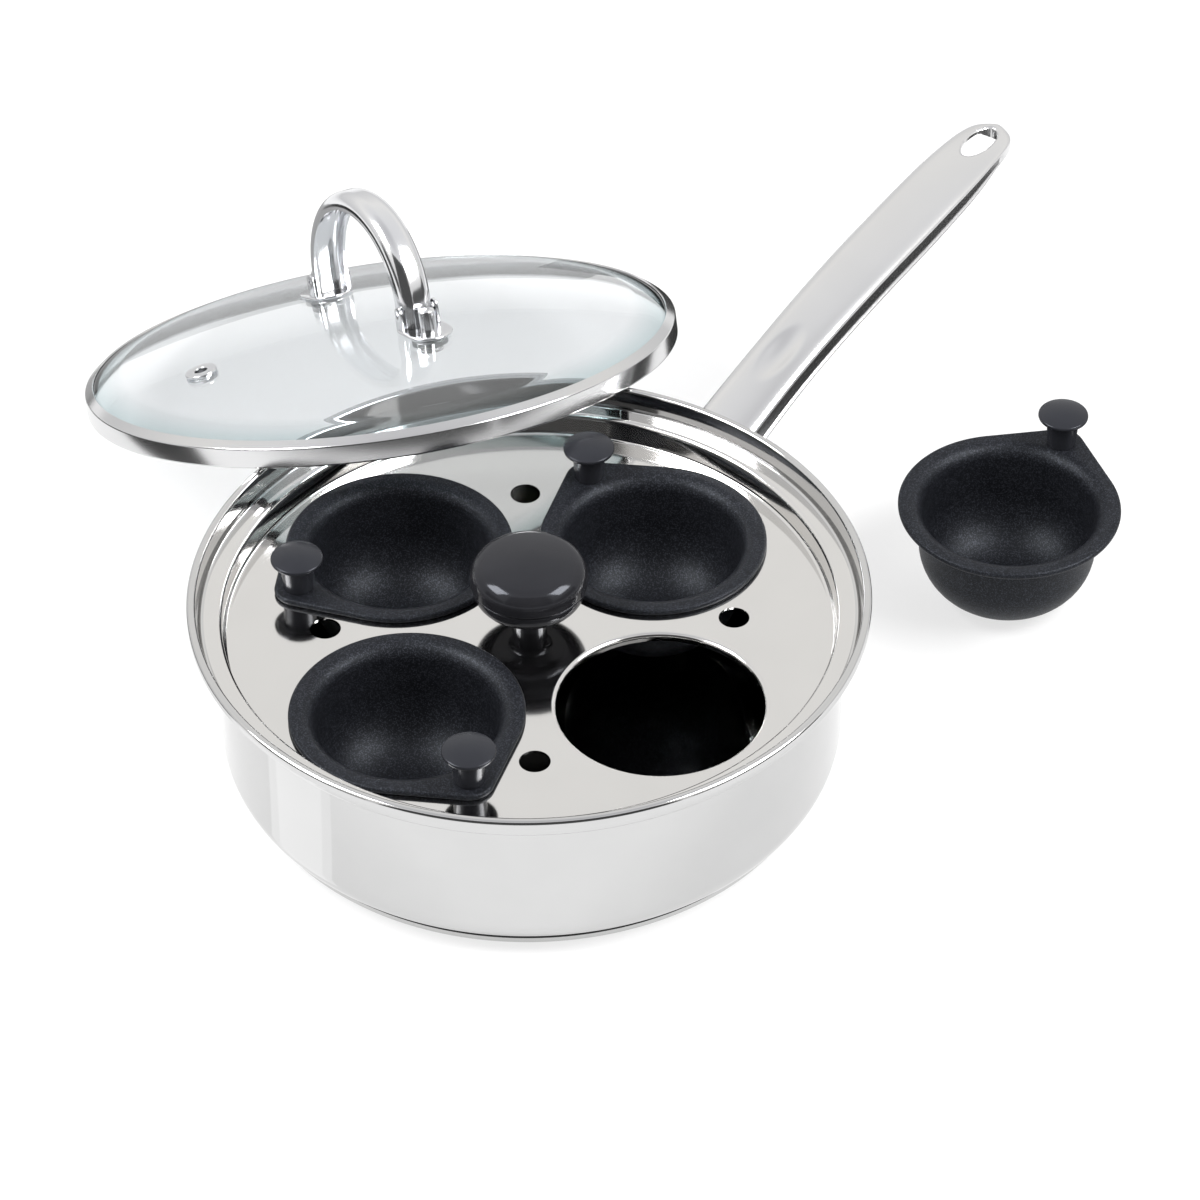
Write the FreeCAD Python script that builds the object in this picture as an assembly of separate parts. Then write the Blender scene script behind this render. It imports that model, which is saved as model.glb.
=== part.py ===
import FreeCAD, Part
import math
import os

from FreeCAD import Placement, Rotation, Vector

# Turns in degrees, the length by which every cutter passes the face it cuts, and how near an
# edge has to lie to count as the one meant
full_turn = 360.0
half_turn = 180.0
overrun = 2.0
pick_slack = 0.01

# Pan: a drawn steel shell with a stepped rim, standing on the table at the origin
pan_sheet = 0.8
wall_radius = 97.6
rim_height = 63.7
ledge_height = 56.0
ledge_width = 5.5
ledge_round = 1.5
step_round = 1.0
lip_lean = 1.0
lip_width = 2.7
lip_drop = 2.7
lip_inner_round = 1.2
lip_round = 1.4
floor_corner = 9.0

# Base: an aluminium plate under the floor, wrapped by a pressed steel cap
cap_sheet = 0.8
core_thick = 2.6
core_inset = 0.6
cap_margin = 4.0
cap_height = 3.4
cap_corner = 1.8

# Pan handle: a pressed channel, open below, that rises away from the rim
handle_direction = 54.5
handle_sheet = 1.4
handle_reach = 265.0
handle_root_height = 55.0
handle_rise = 24.8
handle_half_width = 14.9
handle_depth = 10.7
handle_shoulder = 4.4
handle_crown = 0.9
handle_root_wall = 1.4
handle_hem_width = 0.8
handle_hem_height = 1.7
handle_tip_round = 10.8
hang_hole_length = 19.0
hang_hole_width = 8.8
hang_hole_setback = 2.2
thumb_length = 25.0
thumb_width = 9.0
thumb_depth = 0.75
# Stations along the handle: place, rise, half width and depth as shares of the sizes above
handle_along_shares = (0.0, 0.14, 0.28, 0.42, 0.56, 0.70, 0.84, 0.98, 1.12)
handle_rise_shares = (0.0, 0.25, 0.475, 0.655, 0.79, 0.885, 0.965, 1.0, 0.98)
handle_width_shares = (0.93, 0.815, 0.795, 0.85, 0.94, 1.0, 0.945, 0.70, 0.54)
handle_depth_shares = (1.0, 0.88, 0.80, 0.76, 0.745, 0.715, 0.61, 0.40, 0.37)
thumb_place_share = 0.25
bend_share = 1 - math.sqrt(0.5)
hollow_end_share = 0.89

# Tray: a shallow steel dish that hangs by its flange on the pan's ledge
tray_sheet = 0.8
tray_height = 49.3
tray_wall_gap = 0.5
tray_edge_gap = 0.3
tray_wall_lean = 0.6
tray_corner = 1.2
tray_flange_round = 1.8
cup_count = 4
first_cup_direction = 46.7
cup_hole_margin = 8.1
cup_hole_web = 14.18
collar_depth = 2.6
collar_round = 0.7
vent_offset = 8.6
vent_radius = 4.8

# Tray knob: a domed cap on a bowl-shaped grip, held by a screw from below
knob_radius = 18.3
knob_neck_radius = 6.8
knob_neck_height = 8.8
knob_grip_height = 9.6
knob_seam = 0.5
knob_cap_height = 7.6
knob_edge_round = 3.6
knob_crown = 1.3
knob_bowl_round = 7.0
knob_screw_radius = 2.5
knob_screw_length = 14.0
knob_head_radius = 5.2
knob_head_height = 2.6
screw_clearance = 0.1

# Egg cup: a dark coated bowl with a drop-shaped flange and a small knob on its tip
cup_wall = 1.2
cup_depth = 34.0
cup_hole_gap = 2.8
cup_taper = 1.0
cup_bowl_round = 20.0
cup_flange_overlap = 4.4
cup_flange_thick = 2.2
cup_flange_round = 0.9
cup_mouth_round = 3.0
tip_offset = 0.8
tip_radius = 7.6
cup_knob_radius = 8.2
cup_knob_height = 13.4
cup_stem_foot_radius = 4.7
cup_stem_top_radius = 5.4
cup_knob_edge = 1.3
cup_knob_crown = 1.5
cup_knob_round = 0.6
cup_screw_radius = 1.6
cup_screw_length = 8.0
cup_screw_head_radius = 2.8
cup_screw_head_depth = 1.3
cup_screw_recess = 0.1

# Where the cups stand: hole number, way the tip points, and shift in the hole as shares of its gap
cup_seats = {"rear_right": (0, 123.0), "rear_left": (1, 213.0), "front_left": (2, 302.0)}
seat_shift_shares = {"rear_right": Vector(0.39, -0.43, 0), "rear_left": Vector(-0.57, -0.54, 0),
                     "front_left": Vector(0.21, -0.79, 0)}
loose_cup_direction = 25.13
loose_cup_gap = 29.2
loose_cup_tip = 58.5

# Lid: a glass dome in a steel band, leaning on the rim with its far edge on the table
lid_radius = 100.2
band_sheet = 0.6
band_foot_width = 2.6
band_corner = 0.7
band_top_round = 0.9
band_lip_reach = 2.8
band_lip_gap = 0.15
glass_thick = 4.0
glass_dome_radius = 420.0
glass_shoulder_width = 11.6
glass_shoulder_round = 28.0
glass_seat_gap = 0.1
lean_direction = 109.0
lean_bite = 21.44
lean_clearance = 0.3
lean_rounds = 20

# Lid handle: a half-round channel bent to an arch, on two feet screwed through the glass
arch_turn = 14.0
arch_rise = 41.0
strip_width = 12.4
strip_depth = 5.6
strip_sheet = 1.0
strip_round = 4.6
foot_radius = 8.0
foot_length = 21.0
foot_thick = 1.2
foot_boss_radius = 3.0
foot_boss_height = 6.0
foot_boss_roof = 1.0
boss_gap = 0.5
ear_width = 4.0
ear_sheet = 1.0
ear_height = 8.0
ear_gap = 0.1
foot_screw_radius = 1.6
foot_screw_head_radius = 4.0
foot_screw_head_height = 2.2
washer_radius = 6.0
washer_thick = 1.4
arch_radius_share = 0.3313

# Steam vent: a steel eyelet set in the glass
vent_place_radius = 65.5
vent_place_turn = 102.0
eyelet_flange_radius = 5.4
eyelet_tube_radius = 3.4
eyelet_bore_radius = 2.2
eyelet_sheet = 0.8
eyelet_gap = 0.05

# Sizes that follow from those above
wall_inside = wall_radius - pan_sheet
floor_bottom = cap_sheet + core_thick
floor_top = floor_bottom + pan_sheet
handle_root_width = handle_half_width + handle_hem_width
handle_start = math.sqrt(wall_inside ** 2 - handle_root_width ** 2) - overrun
handle_span = handle_reach - handle_start
ledge_radius = wall_inside + ledge_width
lip_radius = ledge_radius + lip_lean
rim_radius = lip_radius + lip_width
rim_crest_radius = rim_radius - lip_round
core_radius = wall_radius - floor_corner - core_inset
cap_radius = core_radius + cap_margin
tray_flange_height = ledge_height + tray_sheet
tray_wall_radius = wall_inside - tray_wall_gap - tray_sheet
tray_edge_radius = ledge_radius - step_round - tray_edge_gap
cup_room = tray_wall_radius - tray_wall_lean - cup_hole_margin
cup_circle = (cup_room + cup_hole_web / 2) / (1 + math.sin(math.pi / cup_count))
cup_hole_radius = cup_room - cup_circle
vent_circle = cup_circle + vent_offset
cup_mouth_radius = cup_hole_radius - cup_hole_gap
cup_base_spread = cup_mouth_radius - cup_taper
cup_flange_radius = cup_hole_radius + cup_flange_overlap
tip_reach = cup_flange_radius + tip_offset
loose_cup_away = rim_radius + cup_flange_radius + loose_cup_gap
knob_seat = tray_height
knob_grip_top = knob_seat + knob_neck_height + knob_grip_height
knob_cap_seat = knob_grip_top + knob_seam
glass_edge_radius = lid_radius - band_sheet - glass_seat_gap
glass_edge_bottom = band_sheet + glass_seat_gap
glass_shoulder_radius = glass_edge_radius - glass_shoulder_width
band_inner_radius = lid_radius - band_foot_width
arch_radius = lid_radius * arch_radius_share
arch_mean_radius = arch_radius - strip_depth / 2
boss_place_radius = arch_radius + boss_gap + foot_boss_radius
foot_outer_place = boss_place_radius
foot_inner_place = boss_place_radius - foot_length + 2 * foot_radius

up = Vector(0, 0, 1)
centre = Vector(0, 0, 0)


def upright(across, height):
    """A profile point in the plane that stands on the X axis."""
    return Vector(across, 0, height)


def level(along, across):
    """A profile point in the plane of the table."""
    return Vector(along, across, 0)


def rounded_wire(corners, place):
    """A closed wire through corners (a, b, round), with each corner rounded by an arc."""
    starts = []
    edges = []
    for number, (a, b, rounding) in enumerate(corners):
        here = Vector(a, b, 0)
        back = Vector(*corners[number - 1][:2], 0) - here
        ahead = Vector(*corners[(number + 1) % len(corners)][:2], 0) - here
        if rounding == 0:
            starts.append((here, here))
            continue
        back.normalize()
        ahead.normalize()
        half_angle = back.getAngle(ahead) / 2
        reach = rounding / math.tan(half_angle)
        inward = (back + ahead).normalize()
        middle = here + inward * (rounding / math.sin(half_angle) - rounding)
        first = here + back * reach
        last = here + ahead * reach
        starts.append((first, last))
        edges.append(Part.Arc(place(first.x, first.y), place(middle.x, middle.y),
                              place(last.x, last.y)).toShape())
    for number, (first, last) in enumerate(starts):
        after = starts[(number + 1) % len(starts)][0]
        edges.append(Part.makeLine(place(last.x, last.y), place(after.x, after.y)))
    return Part.Wire(Part.__sortEdges__(edges))


def offset_corners(path, sheet):
    """The corners of a bent sheet's far side, which lies to the right of its path."""
    far = []
    for number, (a, b, rounding) in enumerate(path):
        here = Vector(a, b, 0)
        sides = []
        for other, sense in ((number - 1, 1), (number + 1, -1)):
            if 0 <= other < len(path):
                way = (here - Vector(*path[other][:2], 0)) * sense
                way.normalize()
                sides.append(Vector(way.y, -way.x, 0))
        if len(sides) == 1:
            far.append((here.x + sides[0].x * sheet, here.y + sides[0].y * sheet, 0))
            continue
        turn = sides[0].x * sides[1].y - sides[0].y * sides[1].x
        shift = (sides[0] + sides[1]) * (sheet / (1 + sides[0].dot(sides[1])))
        grown = rounding + math.copysign(sheet, turn) if rounding else 0
        far.append((here.x + shift.x, here.y + shift.y, grown))
    return far


def spin(corners):
    """A solid turned about the upright axis from a closed profile."""
    solid = Part.Face(rounded_wire(corners, upright)).revolve(centre, up, full_turn)
    return outward(solid)


def spin_sheet(path, sheet):
    """A turned shell: the path is one side of the sheet, its thickness lies to the right."""
    return spin(list(path) + offset_corners(path, sheet)[::-1])


def outward(shape):
    """The one solid of a shape, with its faces pointing out."""
    solid = shape.Solids[0] if shape.ShapeType != "Solid" else shape
    if solid.Volume < 0:
        solid.reverse()
    return solid


def tube(outer, inner, bottom, top):
    """A plain ring about the upright axis."""
    height = top - bottom
    ring = Part.makeCylinder(outer, height, Vector(0, 0, bottom))
    return ring.cut(Part.makeCylinder(inner, height + 2 * overrun, Vector(0, 0, bottom - overrun)))


def polar(radius, direction, height):
    """A point at a radius and a direction in degrees."""
    turn = math.radians(direction)
    return Vector(radius * math.cos(turn), radius * math.sin(turn), height)


def edges_at(shape, radius, height):
    """The round edges of a given radius at a given height."""
    found = []
    for edge in shape.Edges:
        curve = edge.Curve
        if isinstance(curve, Part.Circle) and abs(curve.Radius - radius) < pick_slack:
            if abs(curve.Center.z - height) < pick_slack:
                found.append(edge)
    return found


def pan_path():
    """The inner side of the pan's sheet, from the middle of the floor to the turned-down lip."""
    return [(0, floor_top, 0), (wall_inside, floor_top, floor_corner),
            (wall_inside, ledge_height, ledge_round), (ledge_radius, ledge_height, step_round),
            (lip_radius, rim_height, lip_inner_round), (rim_radius, rim_height, lip_round),
            (rim_radius, rim_height - lip_drop, 0)]


def pan_body():
    """The drawn shell with its ledge and rolled lip."""
    return spin_sheet(pan_path(), pan_sheet)


def pan_outside():
    """The space that the pan fills, up to its lip, for trimming what is welded to it."""
    skin = offset_corners(pan_path(), pan_sheet)[:5]
    top = skin[-1][1]
    return spin(skin[:-1] + [(skin[-1][0], top, 0), (0, top, 0)])


def base_core():
    """The heat-spreading plate under the floor."""
    return Part.makeCylinder(core_radius, core_thick, Vector(0, 0, cap_sheet))


def base_cap():
    """The pressed cap that closes the base."""
    path = [(cap_radius, cap_height, 0), (cap_radius, 0, cap_corner), (0, 0, 0)]
    return spin_sheet(path, cap_sheet)


def handle_station(number, inset):
    """Place, height, half width and depth of the channel at one station, drawn in by inset.

    The last value is the shoulder's radius, which shrinks with the depth.
    """
    place = handle_start + handle_span * handle_along_shares[number]
    height = handle_root_height + handle_rise * handle_rise_shares[number] - inset
    width = handle_half_width * handle_width_shares[number] - inset
    share = handle_depth_shares[number]
    return place, height, width, handle_depth * share, handle_shoulder * share - inset


def channel_section(number):
    """The outside of the channel at one station: crowned top, round shoulders, hemmed edges."""
    place, height, width, depth, shoulder = handle_station(number, 0)
    foot = height - depth
    hem = foot + handle_hem_height * handle_depth_shares[number]
    wide = width + handle_hem_width
    bevel = handle_hem_width * handle_depth_shares[number]
    bend = shoulder * bend_share
    points = [Vector(place, y, z) for y, z in (
        (-wide, foot), (-wide, hem), (-width, hem + bevel), (-width, height - shoulder),
        (-width + bend, height - bend), (shoulder - width, height), (0, height + handle_crown),
        (width - shoulder, height), (width - bend, height - bend), (width, height - shoulder),
        (width, hem + bevel), (wide, hem), (wide, foot))]
    return Part.Wire([Part.makeLine(points[0], points[1]), Part.makeLine(points[1], points[2]),
                      Part.makeLine(points[2], points[3]),
                      Part.Arc(points[3], points[4], points[5]).toShape(),
                      Part.Arc(points[5], points[6], points[7]).toShape(),
                      Part.Arc(points[7], points[8], points[9]).toShape(),
                      Part.makeLine(points[9], points[10]), Part.makeLine(points[10], points[11]),
                      Part.makeLine(points[11], points[12]), Part.makeLine(points[12], points[0])])


def hollow_section(number):
    """The inside of the channel at one station, open below."""
    place, height, width, depth, shoulder = handle_station(number, handle_sheet)
    foot = height - depth - overrun
    bend = shoulder * bend_share
    points = [Vector(place, y, z) for y, z in (
        (-width, foot), (-width, height - shoulder), (-width + bend, height - bend),
        (shoulder - width, height), (0, height + handle_crown), (width - shoulder, height),
        (width - bend, height - bend), (width, height - shoulder), (width, foot))]
    return Part.Wire([Part.makeLine(points[0], points[1]),
                      Part.Arc(points[1], points[2], points[3]).toShape(),
                      Part.Arc(points[3], points[4], points[5]).toShape(),
                      Part.Arc(points[5], points[6], points[7]).toShape(),
                      Part.makeLine(points[7], points[8]), Part.makeLine(points[8], points[0])])


def handle_tip_outline():
    """The space that the rounded end of the handle keeps to."""
    tall = rim_height + handle_rise
    bar = Part.makeBox(handle_reach, 4 * handle_half_width, 2 * tall,
                       Vector(0, -2 * handle_half_width, 0))
    return bar.fuse(Part.makeCylinder(handle_tip_round, 2 * tall, Vector(handle_reach, 0, 0)))


def hang_hole():
    """The oval hole through the end of the handle."""
    oval = Part.Ellipse(Vector(handle_reach - hang_hole_setback, 0, 0),
                        hang_hole_length / 2, hang_hole_width / 2)
    face = Part.Face(Part.Wire([oval.toShape()]))
    return face.extrude(Vector(0, 0, 2 * rim_height + handle_rise))


def thumb_dimple():
    """A spindle that presses an oval dimple into the top of the handle near the rim."""
    rise = handle_rise * (handle_rise_shares[2] - handle_rise_shares[1])
    run = handle_span * (handle_along_shares[2] - handle_along_shares[1])
    place = handle_start + handle_span * thumb_place_share
    share = (thumb_place_share - handle_along_shares[1]) * handle_span / run
    height = handle_root_height + handle_rise * handle_rise_shares[1] + rise * share + handle_crown
    bulge = (thumb_width ** 2 / 4 + thumb_depth ** 2) / (2 * thumb_depth)
    bow_radius = (thumb_length ** 2 / 4 + thumb_depth ** 2) / (2 * thumb_depth)
    half = math.sqrt(bow_radius ** 2 - (bow_radius - bulge) ** 2)
    bow = Part.Arc(Vector(-half, 0, 0), Vector(0, bulge, 0), Vector(half, 0, 0)).toShape()
    chord = Part.makeLine(Vector(half, 0, 0), Vector(-half, 0, 0))
    spindle = outward(Part.Face(Part.Wire([bow, chord])).revolve(centre, Vector(1, 0, 0), full_turn))
    tilt = Rotation(Vector(0, 1, 0), -math.degrees(math.atan2(rise, run)))
    above = height + bulge - thumb_depth
    spindle.Placement = Placement(Vector(place, 0, above), tilt)
    return spindle


def pan_handle():
    """The pressed handle, trimmed to the pan's side and turned to its place."""
    stations = range(len(handle_along_shares))
    skin = Part.makeLoft([channel_section(number) for number in stations], True)
    hollow = Part.makeLoft([hollow_section(number) for number in stations], True)
    start = lip_radius + pan_sheet + handle_root_wall
    end = handle_start + handle_span * hollow_end_share
    room = Part.makeBox(end - start, 4 * handle_half_width, 2 * rim_height + handle_rise,
                        Vector(start, -2 * handle_half_width, 0))
    shell = skin.common(handle_tip_outline()).cut(hollow.common(room))
    shell = shell.cut(hang_hole()).cut(thumb_dimple()).cut(pan_outside())
    handle = outward(shell)
    handle.Placement = Placement(centre, Rotation(up, handle_direction))
    return handle


def tray_plate():
    """The dished tray with its collared cup holes, vents and knob hole."""
    path = [(0, tray_height, 0), (tray_wall_radius - tray_wall_lean, tray_height, tray_corner),
            (tray_wall_radius, tray_flange_height, tray_flange_round),
            (tray_edge_radius, tray_flange_height, 0)]
    plate = spin_sheet(path, tray_sheet)
    bottom = tray_height - collar_depth
    drill_height = 2 * collar_depth + 2 * overrun
    for number in range(cup_count):
        turn = first_cup_direction + number * full_turn / cup_count
        hole = polar(cup_circle, turn, 0)
        collar = tube(cup_hole_radius + tray_sheet, cup_hole_radius, bottom, tray_height)
        collar.translate(hole)
        bore = Part.makeCylinder(cup_hole_radius, drill_height, hole + up * (bottom - overrun))
        vent = polar(vent_circle, turn + half_turn / cup_count, bottom - overrun)
        plate = plate.fuse(collar).cut(bore)
        plate = plate.cut(Part.makeCylinder(vent_radius, drill_height, vent))
    knob_hole = Part.makeCylinder(knob_screw_radius + screw_clearance, drill_height, up * (bottom - overrun))
    plate = outward(plate.cut(knob_hole).removeSplitter())
    mouths = edges_at(plate, cup_hole_radius, tray_height)
    return outward(plate.makeFillet(collar_round, mouths))


def tray_knob_grip():
    """The lower half of the tray knob: neck and bowl."""
    base = knob_seat + knob_neck_height
    corners = [(0, knob_seat, 0), (knob_neck_radius, knob_seat, 0),
               (knob_neck_radius, base, knob_seam),
               (knob_radius - knob_seam, base, knob_bowl_round),
               (knob_radius - knob_seam, knob_grip_top, 0), (0, knob_grip_top, 0)]
    bore = Part.makeCylinder(knob_screw_radius + screw_clearance, knob_screw_length + screw_clearance,
                             Vector(0, 0, knob_seat))
    return outward(spin(corners).cut(bore))


def tray_knob_cap():
    """The domed cap of the tray knob, with a spigot that sits on the grip."""
    edge = knob_cap_seat + knob_cap_height - knob_crown
    inset = knob_radius - knob_edge_round
    corners = [(0, knob_grip_top, 0), (inset, knob_grip_top, 0), (inset, knob_cap_seat, 0),
               (knob_radius, knob_cap_seat, knob_seam), (knob_radius, edge, knob_edge_round),
               (0, edge + knob_crown, 0)]
    return spin(corners)


def tray_knob_screw():
    """The screw that holds the knob from under the tray."""
    under = tray_height - tray_sheet
    head = Part.makeCylinder(knob_head_radius, knob_head_height, Vector(0, 0, under - knob_head_height))
    shank = Part.makeCylinder(knob_screw_radius, knob_screw_length + tray_sheet, Vector(0, 0, under))
    return outward(head.fuse(shank).removeSplitter())


def drop_outline():
    """The drop-shaped edge of a cup's flange, its tip along the X axis."""
    lean = math.degrees(math.acos((cup_flange_radius - tip_radius) / tip_reach))
    tip = Vector(tip_reach, 0, 0)
    big = [polar(cup_flange_radius, turn, 0) for turn in (lean, half_turn, -lean)]
    small = [tip + polar(tip_radius, turn, 0) for turn in (-lean, 0, lean)]
    return Part.Wire([Part.Arc(*big).toShape(), Part.makeLine(big[2], small[0]),
                      Part.Arc(*small).toShape(), Part.makeLine(small[2], big[0])])


def screw_profile(clearance):
    """The countersunk screw under a cup's tip, or its hole with a clearance."""
    shank = cup_screw_radius + clearance
    return [(0, 0, 0), (cup_screw_head_radius + clearance, 0, 0), (shank, cup_screw_head_depth, 0),
            (shank, cup_screw_length + clearance, 0), (0, cup_screw_length + clearance, 0)]


def egg_cup():
    """The bowl and its flange; the flange's underside is at height 0."""
    plate = Part.Face(drop_outline()).extrude(up * cup_flange_thick)
    rims = [edge for edge in plate.Edges if edge.BoundBox.ZLength < pick_slack]
    plate = plate.makeFillet(cup_flange_round, rims)
    outer = spin([(0, -cup_depth, 0), (cup_base_spread, -cup_depth, cup_bowl_round),
                  (cup_mouth_radius, 0, 0), (cup_mouth_radius, cup_flange_thick / 2, 0),
                  (0, cup_flange_thick / 2, 0)])
    floor = cup_wall - cup_depth
    inside = cup_mouth_radius - cup_wall
    lip = inside + 2 * cup_mouth_round
    inner = spin([(0, floor, 0), (cup_base_spread - cup_wall, floor, cup_bowl_round - cup_wall),
                  (inside, cup_flange_thick, cup_mouth_round), (lip, cup_flange_thick, 0),
                  (lip, cup_flange_thick + overrun, 0), (0, cup_flange_thick + overrun, 0)])
    screw_hole = spin(screw_profile(screw_clearance))
    screw_hole.translate(Vector(tip_reach, 0, 0))
    return outward(plate.fuse(outer).cut(inner).cut(screw_hole).removeSplitter())


def cup_knob():
    """The small knob on a cup's tip: tapered stem under a domed disc."""
    under = cup_knob_height - cup_knob_crown - cup_knob_edge
    corners = [(0, 0, 0), (cup_stem_foot_radius, 0, 0),
               (cup_stem_top_radius, under, cup_knob_round),
               (cup_knob_radius, under, cup_knob_round),
               (cup_knob_radius, under + cup_knob_edge, cup_knob_round),
               (0, cup_knob_height, 0)]
    depth = cup_screw_length - cup_flange_thick + 2 * screw_clearance
    bore = Part.makeCylinder(cup_screw_radius + screw_clearance, depth)
    knob = outward(spin(corners).cut(bore))
    knob.translate(Vector(tip_reach, 0, cup_flange_thick))
    return knob


def cup_screw():
    """The screw that holds a cup's knob, sunk flush in the flange."""
    screw = spin(screw_profile(0))
    screw.translate(Vector(tip_reach, 0, cup_screw_recess))
    return screw


def shoulder_geometry():
    """Centre of the glass dome's shoulder arc, its start angle and its end angle."""
    start = math.asin(glass_shoulder_radius / glass_dome_radius)
    across = glass_shoulder_radius - glass_shoulder_round * math.sin(start)
    end = math.asin((glass_edge_radius - across) / (glass_shoulder_round - glass_thick))
    height = glass_edge_bottom - (glass_shoulder_round - glass_thick) * math.cos(end)
    return across, height, start, end


def glass_top(radius):
    """Height of the glass's upper face at a radius."""
    across, height, start, end = shoulder_geometry()
    if radius > glass_shoulder_radius:
        return height + math.sqrt(glass_shoulder_round ** 2 - (radius - across) ** 2)
    rest = height + (glass_shoulder_round - glass_dome_radius) * math.cos(start)
    return rest + math.sqrt(glass_dome_radius ** 2 - radius ** 2)


def glass_side(thick):
    """The dome and shoulder arcs of one face of the glass, from the axis to the edge."""
    across, height, start, end = shoulder_geometry()
    dome = glass_dome_radius - thick
    shoulder = glass_shoulder_round - thick
    rest = height + (glass_shoulder_round - glass_dome_radius) * math.cos(start)
    finish = math.asin((glass_edge_radius - across) / shoulder)
    crown = [upright(dome * math.sin(turn), rest + dome * math.cos(turn)) for turn in (0, start / 2, start)]
    turns = (start, (start + finish) / 2, finish)
    round_edge = [upright(across + shoulder * math.sin(turn), height + shoulder * math.cos(turn))
                  for turn in turns]
    return Part.Arc(*crown).toShape(), Part.Arc(*round_edge).toShape(), crown[0], round_edge[2]


def foot_places():
    """The two posts of the lid's handle, in the lid's own frame."""
    return {"rear": polar(boss_place_radius, arch_turn, 0),
            "front": polar(boss_place_radius, arch_turn + half_turn, 0)}


def vent_setting():
    """Place and lean of the steam vent, square to the glass."""
    lean = math.degrees(math.asin(vent_place_radius / glass_dome_radius))
    turn = Rotation(up, vent_place_turn).multiply(Rotation(Vector(0, 1, 0), lean))
    return Placement(polar(vent_place_radius, vent_place_turn, glass_top(vent_place_radius)), turn)


def lid_glass():
    """The domed glass with its screw holes and vent hole."""
    crown_top, edge_top, axis_top, rim_top = glass_side(0)
    crown_low, edge_low, axis_low, rim_low = glass_side(glass_thick)
    sides = [crown_top, edge_top, Part.makeLine(rim_top, rim_low), edge_low, crown_low,
             Part.makeLine(axis_low, axis_top)]
    face = Part.Face(Part.Wire(Part.__sortEdges__(sides)))
    glass = outward(face.revolve(centre, up, full_turn))
    height = glass_top(0) + overrun
    for place in foot_places().values():
        glass = glass.cut(Part.makeCylinder(foot_screw_radius + 2 * screw_clearance, height, place))
    drill = Part.makeCylinder(eyelet_tube_radius + screw_clearance, 2 * height, Vector(0, 0, -height))
    drill.Placement = vent_setting()
    return outward(glass.cut(drill))


def lid_band():
    """The steel band that wraps the glass's edge."""
    lip_radius_in = lid_radius - band_lip_reach
    slope = (glass_top(lip_radius_in) - glass_top(glass_edge_radius)) / (glass_edge_radius - lip_radius_in)
    middle = (lip_radius_in + glass_edge_radius) / 2
    bulge = glass_top(middle) - (glass_top(lip_radius_in) + glass_top(glass_edge_radius)) / 2
    rise = band_sheet * math.hypot(1, slope) + band_lip_gap + bulge
    lip = glass_top(lip_radius_in) + rise
    corner = lip - slope * band_lip_reach
    path = [(lip_radius_in, lip, 0), (lid_radius, corner, band_top_round), (lid_radius, 0, band_corner),
            (band_inner_radius, 0, 0)]
    return spin_sheet(path, band_sheet)


def strip_section():
    """The half-round channel of the lid's handle, open towards the middle of the arch."""
    half = strip_width / 2
    inside = arch_radius - strip_depth
    path = [(inside, half, 0), (arch_radius, half, strip_round), (arch_radius, -half, strip_round),
            (inside, -half, 0)]
    return Part.Face(rounded_wire(path + offset_corners(path, strip_sheet)[::-1], level))


def lid_handle():
    """The arched grip on the lid, its two legs standing on the foot plates."""
    pivot = up * (glass_top(0) + arch_rise - arch_radius)
    face = strip_section()
    face.translate(pivot)
    arch = outward(face.revolve(pivot, Vector(0, -1, 0), half_turn))
    leg = outward(face.extrude(up * foot_top() - pivot))
    other = leg.copy()
    other.rotate(centre, up, half_turn)
    grip = outward(arch.fuse([leg, other]).removeSplitter())
    grip.rotate(centre, up, arch_turn)
    return grip


def foot_top():
    """Height of a foot plate's flat upper face."""
    return glass_top(foot_inner_place - foot_radius) + foot_thick


def foot_blank(low, high):
    """An oval block over one foot, its length along the X axis."""
    ends = [Part.makeCylinder(foot_radius, high - low, Vector(place, 0, low))
            for place in (foot_inner_place, foot_outer_place)]
    middle = Part.makeBox(foot_outer_place - foot_inner_place, 2 * foot_radius, high - low,
                          Vector(foot_inner_place, -foot_radius, low))
    return outward(middle.fuse(ends).removeSplitter())


def lid_foot(place, glass):
    """An oval plate moulded to the glass, with two ears that hold the grip's leg between them."""
    top = foot_top()
    blank = foot_blank(glass_top(foot_outer_place + foot_radius) - overrun, top)
    side = strip_width / 2 + ear_gap
    for low_side in (side, -side - ear_sheet):
        corner = Vector(arch_mean_radius - ear_width / 2, low_side, top)
        blank = blank.fuse(Part.makeBox(ear_width, ear_sheet, ear_height, corner))
    blank.rotate(centre, up, math.degrees(math.atan2(place.y, place.x)))
    screw_hole = Part.makeCylinder(foot_screw_radius + 2 * screw_clearance, top + overrun, place)
    plate = blank.cut(glass).cut(screw_hole)
    return outward(max(plate.Solids, key=lambda solid: solid.CenterOfMass.z).removeSplitter())


def lid_boss(place):
    """The threaded post on a foot plate."""
    post = Part.makeCylinder(foot_boss_radius, foot_boss_height, place + up * foot_top())
    bore = Part.makeCylinder(foot_screw_radius + screw_clearance, foot_boss_height - foot_boss_roof,
                             place + up * foot_top())
    return outward(post.cut(bore))


def washer_bottom():
    """Height of the lower face of a washer under the glass."""
    return glass_top(boss_place_radius + washer_radius) - glass_thick - washer_thick


def lid_washer(place, glass):
    """A soft washer that fits the underside of the glass."""
    low = washer_bottom()
    disc = Part.makeCylinder(washer_radius, glass_thick, place + up * low).cut(glass)
    disc = min(disc.Solids, key=lambda solid: solid.CenterOfMass.z)
    hole = Part.makeCylinder(foot_screw_radius + screw_clearance, 2 * glass_thick,
                             place + up * (low - overrun))
    return outward(disc.cut(hole))


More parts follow.
